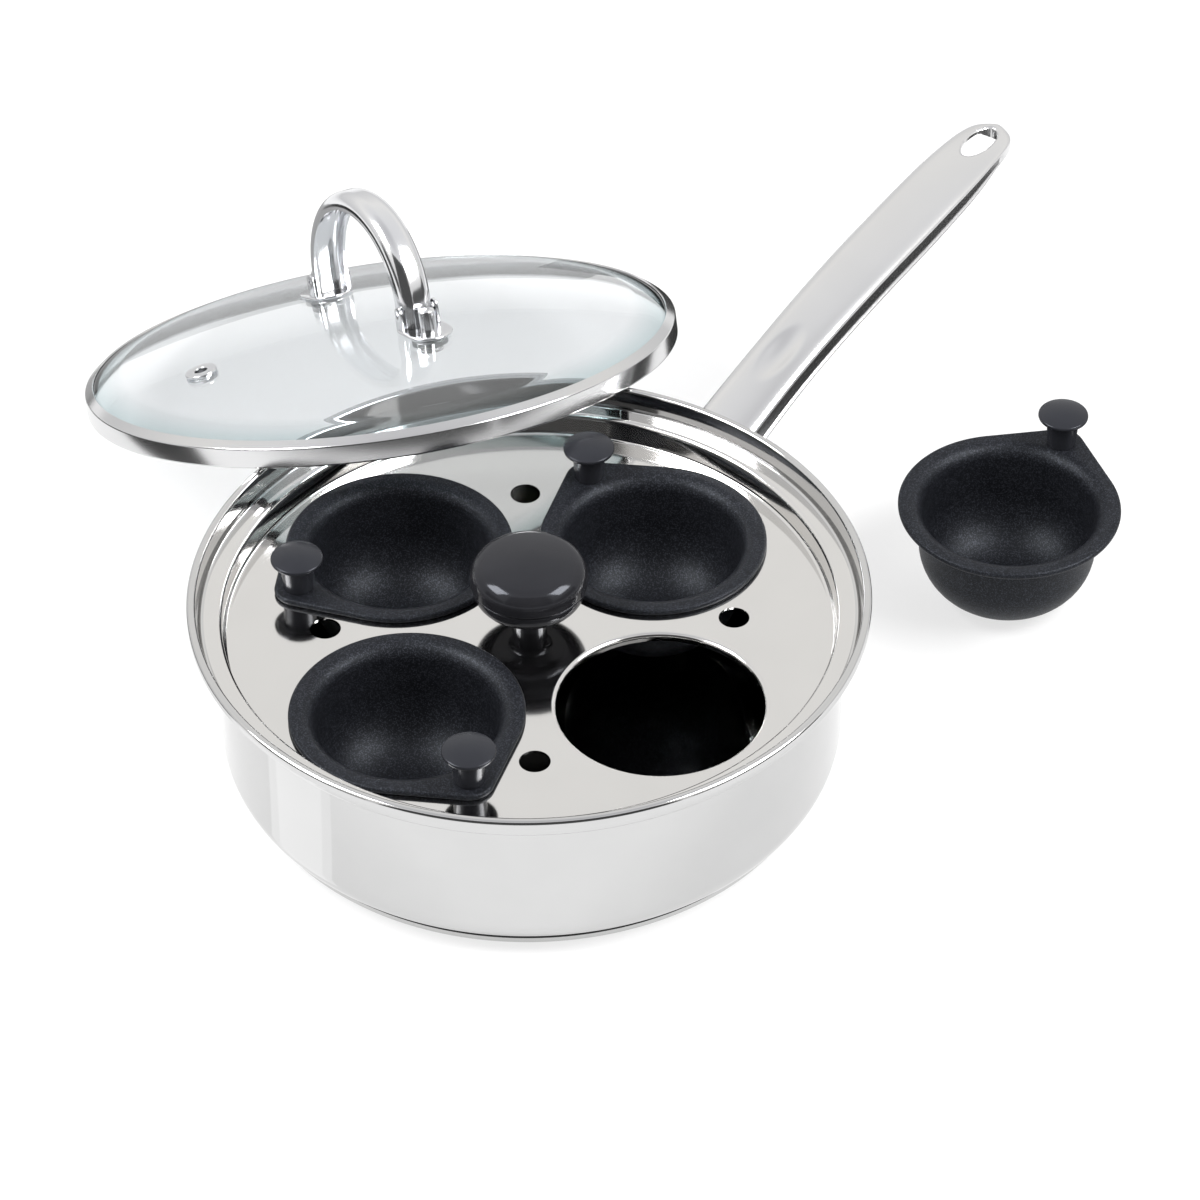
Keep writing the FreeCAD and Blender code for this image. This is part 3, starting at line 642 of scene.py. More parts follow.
class Maker:
    """Geometry trees that turn, fill and recess shapes, each built once."""

    def __init__(self) -> None:
        """Build the three trees."""
        self.lathe_tree, self.lathe_keys = self._lathe()
        self.plate_tree, self.plate_keys = self._plate()
        self.recess_tree, self.recess_keys = self._recess()

    def _lathe(self) -> tuple[bpy.types.NodeTree, dict[str, str]]:
        """A profile curve turned about the upright axis.

        Returns:
            The tree and the identifiers of its inputs.
        """
        graph, given, keys = node_tree("Lathe", {"Steps": "NodeSocketInt", "Hub": "NodeSocketFloat",
                                                 "Material": "NodeSocketMaterial"})
        ring = graph.node("GeometryNodeCurvePrimitiveCircle", {"mode": "RADIUS"},
                          {"Resolution": graph.value(given, "Steps"), "Radius": graph.value(given, "Hub")})
        skin = graph.node("GeometryNodeCurveToMesh", None,
                          {"Curve": graph.value(ring), "Profile Curve": graph.value(given, "Geometry")})
        whole = graph.node("GeometryNodeMergeByDistance", None,
                           {"Geometry": graph.value(skin), "Distance": MERGE_GAP})
        close_tree(graph, given, graph.value(whole))
        return graph.tree, keys

    def _plate(self) -> tuple[bpy.types.NodeTree, dict[str, str]]:
        """A flat disc with two rings of round holes and one in the middle.

        Returns:
            The tree and the identifiers of its inputs.
        """
        graph, given, keys = node_tree("Holed plate", {
            "Radius": "NodeSocketFloat", "Holes": "NodeSocketInt", "First": "NodeSocketFloat",
            "Hole circle": "NodeSocketFloat", "Hole radius": "NodeSocketFloat",
            "Vent circle": "NodeSocketFloat", "Vent radius": "NodeSocketFloat",
            "Middle radius": "NodeSocketFloat", "Material": "NodeSocketMaterial"})
        count = graph.value(given, "Holes")
        first = graph.value(given, "First")
        outline = graph.node("GeometryNodeJoinGeometry")

        def ring(radius: str, steps: int) -> Value:
            """A round edge."""
            made = graph.node("GeometryNodeCurvePrimitiveCircle", {"mode": "RADIUS"},
                              {"Resolution": steps, "Radius": graph.value(given, radius)})
            return graph.value(made)

        def pattern(circle: str, radius: str, turn: Value) -> Value:
            """Round edges spread on a circle.

            Args:
                circle: Input that holds the circle's radius.
                radius: Input that holds the edges' radius.
                turn: Direction of the first one.

            Returns:
                The edges as curves.
            """
            spots = graph.node("GeometryNodeMeshCircle", None,
                               {"Vertices": count, "Radius": graph.value(given, circle)})
            moved = graph.node("GeometryNodeTransform", None,
                               {"Geometry": graph.value(spots), "Rotation": graph.vector(0.0, 0.0, turn)})
            copies = graph.node("GeometryNodeInstanceOnPoints", None,
                                {"Points": graph.value(moved), "Instance": ring(radius, SMALL_STEPS)})
            real = graph.node("GeometryNodeRealizeInstances", None, {0: graph.value(copies)})
            return graph.value(real)

        for edge in (ring("Radius", FINE_STEPS), ring("Middle radius", SMALL_STEPS),
                     pattern("Hole circle", "Hole radius", first),
                     pattern("Vent circle", "Vent radius", first + math.pi / count)):
            graph.feed(outline.inputs[0], edge)
        filled = graph.node("GeometryNodeFillCurve", {"mode": "TRIANGLES"}, {0: graph.value(outline)})
        close_tree(graph, given, graph.value(filled))
        return graph.tree, keys

    def _recess(self) -> tuple[bpy.types.NodeTree, dict[str, str]]:
        """A cross recess cut into a screw's head.

        Returns:
            The tree and the identifiers of its inputs.
        """
        graph, given, keys = node_tree("Cross recess", {
            "Centre": "NodeSocketVector", "Turn": "NodeSocketVector", "Long": "NodeSocketVector",
            "Wide": "NodeSocketVector", "Material": "NodeSocketMaterial"})
        cut = graph.node("GeometryNodeMeshBoolean", {"operation": "DIFFERENCE", "solver": "EXACT"},
                         {0: graph.value(given, "Geometry")})
        for size in ("Long", "Wide"):
            bar = graph.node("GeometryNodeMeshCube", None, {"Size": graph.value(given, size)})
            moved = graph.node("GeometryNodeTransform", None,
                               {"Geometry": graph.value(bar), "Translation": graph.value(given, "Centre"),
                                "Rotation": graph.value(given, "Turn")})
            graph.feed(cut.inputs[1], graph.value(moved))
        close_tree(graph, given, graph.value(cut))
        return graph.tree, keys

    def _run(self, data: bpy.types.ID, tree: bpy.types.NodeTree,
             values: dict[str, object]) -> bpy.types.Mesh:
        """Run a tree on a curve or mesh.

        Args:
            data: What the tree starts from.
            tree: The tree.
            values: Each input's value, by identifier.

        Returns:
            The result as a plain mesh.
        """
        holder = added("holder", data)
        modifier = holder.modifiers.new("tree", "NODES")
        modifier.node_group = tree
        for key, given in values.items():
            modifier[key] = given
        mesh = settled(holder)
        holder.modifiers.remove(modifier)
        bpy.data.objects.remove(holder)
        return mesh

    def lathe(self, outline: Sequence[Point], finish: Finish, steps: int = FINE_STEPS) -> bpy.types.Mesh:
        """Turn an outline about the upright axis.

        Args:
            outline: Radius and height of its points; open if it starts and ends on the axis.
            finish: The piece's finish.
            steps: Number of steps round.

        Returns:
            The turned mesh, in millimetres.
        """
        hub = max(across for across, _ in outline)
        curve = bpy.data.curves.new("profile", "CURVE")
        curve.dimensions = "3D"
        spline = curve.splines.new("POLY")
        spline.points.add(len(outline) - 1)
        for point, (across, height) in zip(spline.points, outline):
            point.co = (across - hub, -height, 0.0, 1.0)
        spline.use_cyclic_u = outline[0][0] > 0
        keys = self.lathe_keys
        mesh = self._run(curve, self.lathe_tree, {keys["Steps"]: steps, keys["Hub"]: hub,
                                                  keys["Material"]: finish.material()})
        bpy.data.curves.remove(curve)
        face_out(mesh)
        return mesh

    def plate(self, values: dict[str, object], finish: Finish) -> bpy.types.Mesh:
        """A flat holed disc at height zero, facing up.

        Args:
            values: The tree's inputs, by name.
            finish: The piece's finish.

        Returns:
            An open mesh in millimetres.
        """
        start = bpy.data.meshes.new("start")
        given = {self.plate_keys[key]: number for key, number in values.items()}
        given[self.plate_keys["Material"]] = finish.material()
        return self._run(start, self.plate_tree, given)

    def recess(self, mesh: bpy.types.Mesh, place: Matrix, size: tuple[float, float, float],
               finish: Finish) -> bpy.types.Mesh:
        """Cut a cross recess.

        Args:
            mesh: The screw, in metres.
            place: Centre of its head's outer face, with its local Z along the screw.
            size: Length and width of the cross's bars and its depth, in metres.
            finish: The screw's finish.

        Returns:
            The cut screw, with its own places noted.
        """
        length, width, depth = size
        keys = self.recess_keys
        screw = self._run(mesh, self.recess_tree, {
            keys["Centre"]: tuple(place.translation), keys["Turn"]: tuple(place.to_euler()),
            keys["Long"]: (length, width, 2 * depth), keys["Wide"]: (width, length, 2 * depth),
            keys["Material"]: finish.material()})
        note_place(screw, 1 / MM)
        return screw


def edit(mesh: bpy.types.Mesh, change: Callable[[bmesh.types.BMesh], object]) -> bpy.types.Mesh:
    """Change a mesh through its editable form.

    Args:
        mesh: The mesh.
        change: What changes the editable form.

    Returns:
        The same mesh, changed.
    """
    work = bmesh.new()
    work.from_mesh(mesh)
    change(work)
    work.to_mesh(mesh)
    work.free()
    return mesh


def face_out(mesh: bpy.types.Mesh) -> bpy.types.Mesh:
    """Turn the faces of a closed mesh outwards."""
    return edit(mesh, lambda work: bmesh.ops.recalc_face_normals(work, faces=work.faces))


def merged(mesh: bpy.types.Mesh, gap: float = MERGE_GAP) -> bpy.types.Mesh:
    """Join a mesh's points that lie together."""
    return edit(mesh, lambda work: bmesh.ops.remove_doubles(work, verts=work.verts, dist=gap))


def joined(meshes: Sequence[bpy.types.Mesh]) -> bpy.types.Mesh:
    """One mesh from several, with the seams between them closed.

    Args:
        meshes: The meshes, in the same units.

    Returns:
        The first of them, which holds them all.
    """
    whole = bmesh.new()
    for mesh in meshes:
        whole.from_mesh(mesh)
    first = meshes[0]
    whole.to_mesh(first)
    whole.free()
    return face_out(merged(first))


def grid_mesh(name: str, loops: Sequence[Sequence[Vector]]) -> bpy.types.Mesh:
    """A closed mesh through loops of equal count, with both ends capped.

    Args:
        name: The mesh's name.
        loops: Closed loops of points.

    Returns:
        The mesh, in the units of the points.
    """
    count = len(loops[0])
    points = [point for loop in loops for point in loop]
    faces = [list(range(count)), list(range(len(points) - count, len(points)))]
    for row in range(len(loops) - 1):
        for number in range(count):
            after = (number + 1) % count
            faces.append([row * count + number, row * count + after,
                          (row + 1) * count + after, (row + 1) * count + number])
    mesh = bpy.data.meshes.new(name)
    mesh.from_pydata(points, [], faces)
    return face_out(merged(mesh))


def cut(mesh: bpy.types.Mesh, cutters: Sequence[bpy.types.Mesh]) -> bpy.types.Mesh:
    """Take other closed meshes away from a mesh.

    Args:
        mesh: The mesh to cut.
        cutters: What is taken away, in the same units.

    Returns:
        A new mesh.
    """
    holder = added("holder", mesh)
    tools = [added("cutter", cutter) for cutter in cutters]
    for tool in tools:
        modifier = holder.modifiers.new("cut", "BOOLEAN")
        modifier.operation = "DIFFERENCE"
        modifier.solver = "EXACT"
        modifier.object = tool
    done = settled(holder)
    for spare in (holder, *tools):
        bpy.data.objects.remove(spare)
    return done


def placed(mesh: bpy.types.Mesh, place: Matrix) -> bpy.types.Mesh:
    """Note each point's own place, then move the mesh from millimetres to its place in metres.

    Args:
        mesh: The mesh, about its own origin.
        place: Its place, in millimetres.

    Returns:
        The same mesh, moved.
    """
    note_place(mesh, 1.0)
    mesh.transform(Matrix.Scale(MM, 4) @ place)
    return mesh


def note_place(mesh: bpy.types.Mesh, scale: float) -> None:
    """Keep each point's place on its own piece, for its finish.

    Args:
        mesh: The mesh.
        scale: Millimetres in one of its units.
    """
    spots = mesh.attributes.get(OWN_PLACE) or mesh.attributes.new(OWN_PLACE, "FLOAT_VECTOR", "POINT")
    for vertex, spot in zip(mesh.vertices, spots.data):
        spot.vector = vertex.co * scale


def cad_copy(node: str) -> bpy.types.Mesh:
    """A copy of a node's mesh with its triangles joined.

    Args:
        node: The node's name.

    Returns:
        The copy, in metres.
    """
    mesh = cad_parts[node].data.copy()
    mesh.materials.clear()
    merged(mesh, MERGE_GAP * MM)
    note_place(mesh, 1 / MM)
    return mesh


def attach(name: str, mesh: bpy.types.Mesh, finish: Kit, body: str, node: str) -> None:
    """Make a piece of the object from its mesh.

    Args:
        name: The piece's name.
        mesh: Its mesh, in metres, in place.
        finish: Its finish.
        body: The body that it rides on.
        node: The node that it stands for.
    """
    mesh.name = name
    mesh.materials.clear()
    mesh.materials.append(finish.value.material())
    piece = added(name, mesh)
    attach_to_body(piece, body)
    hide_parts(node)
    LOG.info("%s: %d faces, rides on %s", name, len(mesh.polygons), body)


def smooth(mesh: bpy.types.Mesh, angle: float = SHARP_ANGLE) -> bpy.types.Mesh:
    """Shade a mesh smooth, with edges sharp past an angle.

    Args:
        mesh: The mesh.
        angle: The least angle of a sharp edge, in radians.

    Returns:
        The same mesh, shaded.
    """
    mesh.polygons.foreach_set("use_smooth", [True] * len(mesh.polygons))
    mesh.set_sharp_from_angle(angle=angle)
    return mesh


def drop(radius: float, inset: float) -> float:
    """How far a round edge falls away at a distance in from it."""
    short = max(0.0, radius - max(0.0, inset))
    return radius - math.sqrt(max(0.0, radius * radius - short * short))


@dataclass
class PanHandle:
    """The pressed channel handle; all lengths in millimetres and angles in degrees."""

    direction: float = 54.5
    start: float = 93.5
    reach: float = 265.0
    root_height: float = 55.0
    rise: float = 24.8
    half_width: float = 14.9
    depth: float = 10.7
    shoulder: float = 5.6
    shoulder_share: float = 0.42
    crown: float = 0.9
    sheet: float = 1.4
    skin: float = 0.02
    hem_width: float = 0.75
    hem_least_share: float = 0.4
    inner_least_share: float = 0.3
    tip_start: float = 248.0
    tip_round: float = 10.8
    tip_pull_share: float = 0.5
    tip_blend: int = 6
    tip_gap: float = 0.01
    hole_length: float = 19.0
    hole_width: float = 8.8
    hole_setback: float = 2.2
    hole_round: float = 0.9
    drill_height: float = 150.0
    thumb_length: float = 28.0
    thumb_width: float = 11.0
    thumb_depth: float = 1.6
    thumb_share: float = 0.272
    thumb_power: float = 1.5
    hollow_start: tuple[float, float] = (104.0, 107.0)
    hollow_end: tuple[float, float] = (268.0, 273.5)
    pitch_share: float = 0.14
    rise_shares: tuple[float, ...] = (0.0, 0.25, 0.475, 0.655, 0.79, 0.885, 0.965, 1.0, 0.98)
    width_shares: tuple[float, ...] = (0.93, 0.815, 0.795, 0.85, 0.94, 1.0, 0.945, 0.70, 0.54)
    depth_shares: tuple[float, ...] = (1.0, 0.88, 0.80, 0.77, 0.755, 0.735, 0.63, 0.39, 0.37)
    slope_step: float = 0.05
    crease: float = 40.0
    long_steps: int = 130
    tip_steps: int = 70
    across_steps: int = 44
    inner_steps: int = 18
    hem_steps: int = 8

    def share(self, shares: Sequence[float], along: float) -> float:
        """A smooth curve through shares given at even stations.

        Args:
            shares: The values at the stations.
            along: Place along the handle.

        Returns:
            The value there.
        """
        at = (along - self.start) / ((self.reach - self.start) * self.pitch_share)
        number = min(len(shares) - 2, max(0, math.floor(at)))
        part = at - number
        first, second = shares[number], shares[number + 1]
        before = shares[number - 1] if number else 2 * first - second
        after = shares[number + 2] if number + 2 < len(shares) else 2 * second - first
        slope_in = (second - before) / 2
        slope_out = (after - first) / 2
        bend = 2 * (first - second) + slope_in + slope_out
        return first + part * (slope_in + part * (second - first - slope_in - bend + part * bend))

    def line(self, along: float) -> float:
        """Height of the line that the handle follows."""
        return self.root_height + self.rise * self.share(self.rise_shares, along)

    def half(self, along: float) -> float:
        """Half the width, rounded off at the tip.

        Args:
            along: Place along the handle.

        Returns:
            Half the width there.
        """
        wide = self.half_width * self.share(self.width_shares, along)
        pull = self.tip_pull_share * self.tip_round
        length = pull + self.tip_round
        past = max(0.0, along - self.reach + pull)
        room = math.sqrt(max(TINY, length ** 2 - past ** 2))
        limit = room * self.tip_round / math.sqrt(length ** 2 - pull ** 2)
        return (wide ** -self.tip_blend + limit ** -self.tip_blend) ** (-1 / self.tip_blend)

    def top(self, along: float, across: float) -> float:
        """Height of the upper face: crowned, with round shoulders, thumb dimple and soft hole edge.

        Args:
            along: Place along the handle.
            across: Place across it, from its middle.

        Returns:
            The height there.
        """
        half = self.half(along)
        step = self.slope_step
        slope = (self.half(along + step) - self.half(along - step)) / (2 * step)
        inset = (half * half - across * across) / (2 * half) / math.hypot(1, slope)
        radius = self.shoulder * self.share(self.depth_shares, along)
        height = self.line(along) + self.crown * (1 - (across / half) ** 2)
        height -= self.shoulder_share * drop(radius, inset)
        thumb = self.start + (self.reach - self.start) * self.thumb_share
        spread = (2 * (along - thumb) / self.thumb_length) ** 2 + (2 * across / self.thumb_width) ** 2
        height -= self.thumb_depth * max(0.0, 1 - spread) ** self.thumb_power
        hole = self.reach - self.hole_setback
        away = math.hypot(2 * (along - hole) / self.hole_length, 2 * across / self.hole_width) - 1
        return height - drop(self.hole_round, max(0.0, away * self.hole_width / 2))

    def section(self, along: float) -> list[Vector]:
        """The closed outline of the channel at one place.

        Args:
            along: Place along the handle.

        Returns:
            The outline's points in order.
        """
        half = self.half(along)
        share = self.share(self.depth_shares, along)
        foot = self.line(along) - self.depth * share
        bead = self.hem_width * (self.hem_least_share + (1 - self.hem_least_share) * share)
        fade = 1 - ease(self.tip_start, self.reach, along)
        hem = [(half + fade * bead * math.cos(turn), foot + bead * (1 + math.sin(turn)))
               for turn in half_turn(self.hem_steps)]
        points = [(half * math.sin(turn), self.top(along, half * math.sin(turn)))
                  for turn in reversed(half_turn(self.across_steps))]
        inner = max(half - self.sheet, self.inner_least_share * half)
        open_share = ease(*self.hollow_start, along) * (1 - ease(*self.hollow_end, along))
        points += [*hem, (inner, foot)]
        for turn in half_turn(self.inner_steps):
            roof = self.top(along, half * math.sin(turn)) - self.sheet
            points.append((inner * math.sin(turn), foot + self.skin + open_share * max(0.0, roof - foot)))
        points.append((-inner, foot))
        points += [(-across, height) for across, height in reversed(hem)]
        return [Vector((along, across, height)) for across, height in points]

    def mesh(self, pan_room: bpy.types.Mesh) -> bpy.types.Mesh:
        """The whole handle, trimmed to the pan and pierced.

        Args:
            pan_room: The space that the pan fills.

        Returns:
            The handle's mesh, in metres, in place.
        """
        body_length = self.tip_start - self.start
        tip_length = self.reach + self.tip_round - self.tip_start - self.tip_gap
        places = [self.start + body_length * number / self.long_steps for number in range(self.long_steps)]
        places += [self.tip_start + tip_length * math.sin(number / self.tip_steps * math.pi / 2)
                   for number in range(self.tip_steps + 1)]
        body = grid_mesh("handle", [self.section(along) for along in places])
        middle = self.reach - self.hole_setback
        oval = [(middle + self.hole_length / 2 * math.cos(turn), self.hole_width / 2 * math.sin(turn))
                for turn in full_turn(SMALL_STEPS)]
        drill = grid_mesh("drill", [[Vector((*spot, height)) for spot in oval]
                                    for height in (0.0, self.drill_height)])
        pan_room.transform(turned(-self.direction))
        handle = placed(cut(body, [drill, pan_room]), turned(self.direction))
        return smooth(handle, math.radians(self.crease))


@dataclass
class Pan:
    """The pan with its base and handle; all lengths in millimetres."""

    maker: Maker
    sheet: float = 0.8
    wall_radius: float = 97.6
    rim_radius: float = 106.0
    rim_height: float = 63.7
    ledge_height: float = 56.0
    ledge_width: float = 5.5
    ledge_round: float = 1.5
    step_round: float = 1.0
    lip_lean: float = 1.0
    lip_drop: float = 2.7
    lip_inner_round: float = 1.2
    lip_round: float = 1.4
    floor_corner: float = 9.0
    cap_sheet: float = 0.8
    core_thick: float = 2.6
    cap_radius: float = 92.0
    cap_height: float = 3.4
    cap_corner: float = 1.8

    def path(self) -> list[Corner]:
        """The inner side of the sheet.

        Returns:
            Its corners, from the middle of the floor to the turned-down lip.
        """
        inside = self.wall_radius - self.sheet
        floor = self.cap_sheet + self.core_thick + self.sheet
        ledge = inside + self.ledge_width
        return [(0.0, floor, 0.0), (inside, floor, self.floor_corner),
                (inside, self.ledge_height, self.ledge_round), (ledge, self.ledge_height, self.step_round),
                (ledge + self.lip_lean, self.rim_height, self.lip_inner_round),
                (self.rim_radius, self.rim_height, self.lip_round),
                (self.rim_radius, self.rim_height - self.lip_drop, 0.0)]

    def room(self) -> bpy.types.Mesh:
        """The space that the pan fills, which what is welded to it stays out of.

        Returns:
            A closed mesh in millimetres, up to the rim.
        """
        *skin, (edge, top, _) = far_side(self.path(), self.sheet)[:-2]
        outline = rounded(skin + [(edge, top, 0.0), (0.0, top, 0.0)])
        return self.maker.lathe(outline, Kit.PAN.value)

    def build(self) -> None:
        """Make and attach the pan's pieces."""
        shell = self.maker.lathe(sheet_outline(self.path(), self.sheet), Kit.PAN.value)
        attach("pan_shell", smooth(placed(shell, Matrix())), Kit.PAN, "pan", "pan_body")
        cap_path = [(self.cap_radius, self.cap_height, 0.0), (self.cap_radius, 0.0, self.cap_corner),
                    (0.0, 0.0, 0.0)]
        cap = self.maker.lathe(sheet_outline(cap_path, self.cap_sheet)[::-1], Kit.BASE.value)
        attach("pan_base_cap", smooth(placed(cap, Matrix())), Kit.BASE, "pan", "base_cap")
        core = smooth(cad_copy("base_core"))
        attach("pan_base_core", core, Kit.CORE, "pan", "base_core")
        handle = PanHandle().mesh(self.room())
        attach("pan_channel_handle", handle, Kit.HANDLE, "pan", "pan_handle")


@dataclass
class Tray:
    """The holed tray with its knob; lengths in millimetres, angles in degrees, the recess in metres."""

    maker: Maker
    sheet: float = 0.8
    height: float = 49.3
    wall_radius: float = 95.5
    wall_lean: float = 0.6
    flat_inset: float = 3.6
    edge_radius: float = 101.0
    flange_height: float = 56.8
    corner: float = 1.2
    flange_round: float = 1.8
    hole_count: int = 4
    hole_circle: float = 55.0
    first_hole: float = 46.7
    hole_radius: float = 31.8
    collar_depth: float = 2.6
    collar_round: float = 1.5
    vent_circle: float = 63.6
    vent_radius: float = 4.8
    middle_radius: float = 2.6
    knob_radius: float = 18.3
    neck_radius: float = 5.4
    neck_height: float = 8.8
    neck_round: float = 2.0
    grip_height: float = 7.9
    seam: float = 0.5
    cap_height: float = 9.3
    edge_round: float = 6.2
    crown: float = 2.3
    bowl_round: float = 7.3
    recess_size: tuple[float, float, float] = (0.0056, 0.0012, 0.0013)
    screw_head: float = 2.6
    flat_normal: float = 0.99999

    def pitch(self) -> float:
        """Angle from one cup hole to the next."""
        return 360.0 / self.hole_count

    def flat_edge(self) -> float:
        """Radius at which the flat of the plate ends."""
        return self.wall_radius - self.flat_inset

    def flat(self, height: float, hole: float) -> bpy.types.Mesh:
        """One flat face of the plate.

        Args:
            height: Its height.
            hole: Radius of its cup holes.

        Returns:
            The face as an open mesh, in millimetres.
        """
        mesh = self.maker.plate({
            "Radius": self.flat_edge(), "Holes": self.hole_count, "First": math.radians(self.first_hole),
            "Hole circle": self.hole_circle, "Hole radius": hole, "Vent circle": self.vent_circle,
            "Vent radius": self.vent_radius, "Middle radius": self.middle_radius}, Kit.TRAY.value)
        mesh.transform(Matrix.Translation((0.0, 0.0, height)))
        return mesh

    def ring(self, outline: Sequence[Point], steps: int, away: float = 0.0,
             turn: float = 0.0) -> bpy.types.Mesh:
        """A turned strip round one edge of the plate.

        Args:
            outline: Radius and height of its points.
            steps: Number of steps round.
            away: Distance of its axis from the tray's.
            turn: Direction of its axis.

        Returns:
            The strip, in millimetres.
        """
        mesh = self.maker.lathe(outline, Kit.TRAY.value, steps)
        mesh.transform(Matrix.Translation(polar(away, turn)) @ turned(turn))
        return mesh

    def plate(self) -> bpy.types.Mesh:
        """The dished plate with rolled-down collars round its cup holes.

        Returns:
            A closed mesh in millimetres.
        """
        under = self.height - self.sheet
        outer = self.hole_radius + self.sheet
        roll = self.hole_radius + self.collar_round
        foot = self.height - self.collar_depth
        path = [(self.flat_edge(), self.height, 0.0),
                (self.wall_radius - self.wall_lean, self.height, self.corner),
                (self.wall_radius, self.flange_height, self.flange_round),
                (self.edge_radius, self.flange_height, 0.0)]
        collar = rounded([(roll, self.height, 0.0), (self.hole_radius, self.height, self.collar_round),
                          (self.hole_radius, foot, 0.0), (outer, foot, 0.0), (outer, under, 0.0)])
        middle, vent = ([(radius, self.height), (radius, under)]
                        for radius in (self.middle_radius, self.vent_radius))
        parts = [self.flat(self.height, roll), self.flat(under, outer),
                 self.ring(sheet_outline(path, self.sheet), FINE_STEPS), self.ring(middle, SMALL_STEPS)]
        for number in range(self.hole_count):
            turn = self.first_hole + number * self.pitch()
            parts.append(self.ring(collar, SMALL_STEPS, self.hole_circle, turn))
            parts.append(self.ring(vent, SMALL_STEPS, self.vent_circle, turn + self.pitch() / 2))
        return joined(parts)

    def knob(self) -> tuple[bpy.types.Mesh, bpy.types.Mesh]:
        """The knob's two mouldings, with a seam between them.

        Returns:
            The lower one and the cap, in millimetres.
        """
        base = self.height + self.neck_height
        grip_top = base + self.grip_height
        side = self.knob_radius - self.seam
        seat = grip_top + self.seam
        edge = seat + self.cap_height - self.crown
        inset = self.knob_radius - self.edge_round
        grip = rounded([(0.0, self.height, 0.0), (self.neck_radius, self.height, 0.0),
                        (self.neck_radius, base, self.neck_round), (side, base, self.bowl_round),
                        (side, grip_top, self.seam), (0.0, grip_top, 0.0)])
        cap = domed([(0.0, grip_top, 0.0), (inset, grip_top, 0.0), (inset, seat, 0.0),
                     (self.knob_radius, seat, self.seam), (self.knob_radius, edge, self.edge_round)],
                    self.crown)
        return (self.maker.lathe(grip, Kit.KNOB.value, KNOB_STEPS),
                self.maker.lathe(cap, Kit.KNOB.value, KNOB_STEPS))

    def build(self) -> None:
        """Make and attach the tray's pieces."""
        plate = smooth(placed(self.plate(), Matrix()))
        for face in plate.polygons:
            if abs(face.normal.z) > self.flat_normal:
                face.use_smooth = False
        attach("tray_dish", plate, Kit.TRAY, "tray", "tray_plate")
        grip, cap = self.knob()
        for name, mesh, node in (("tray_knob_bowl", grip, "tray_knob_grip"),
                                 ("tray_knob_dome", cap, "tray_knob_cap")):
            attach(name, smooth(placed(mesh, Matrix())), Kit.KNOB, "tray", node)
        head = Matrix.Translation((0.0, 0.0, (self.height - self.sheet - self.screw_head) * MM))
        screw = self.maker.recess(cad_copy("tray_knob_screw"), head, self.recess_size, Kit.FASTENER.value)
        attach("tray_knob_bolt", smooth(screw), Kit.FASTENER, "tray", "tray_knob_screw")


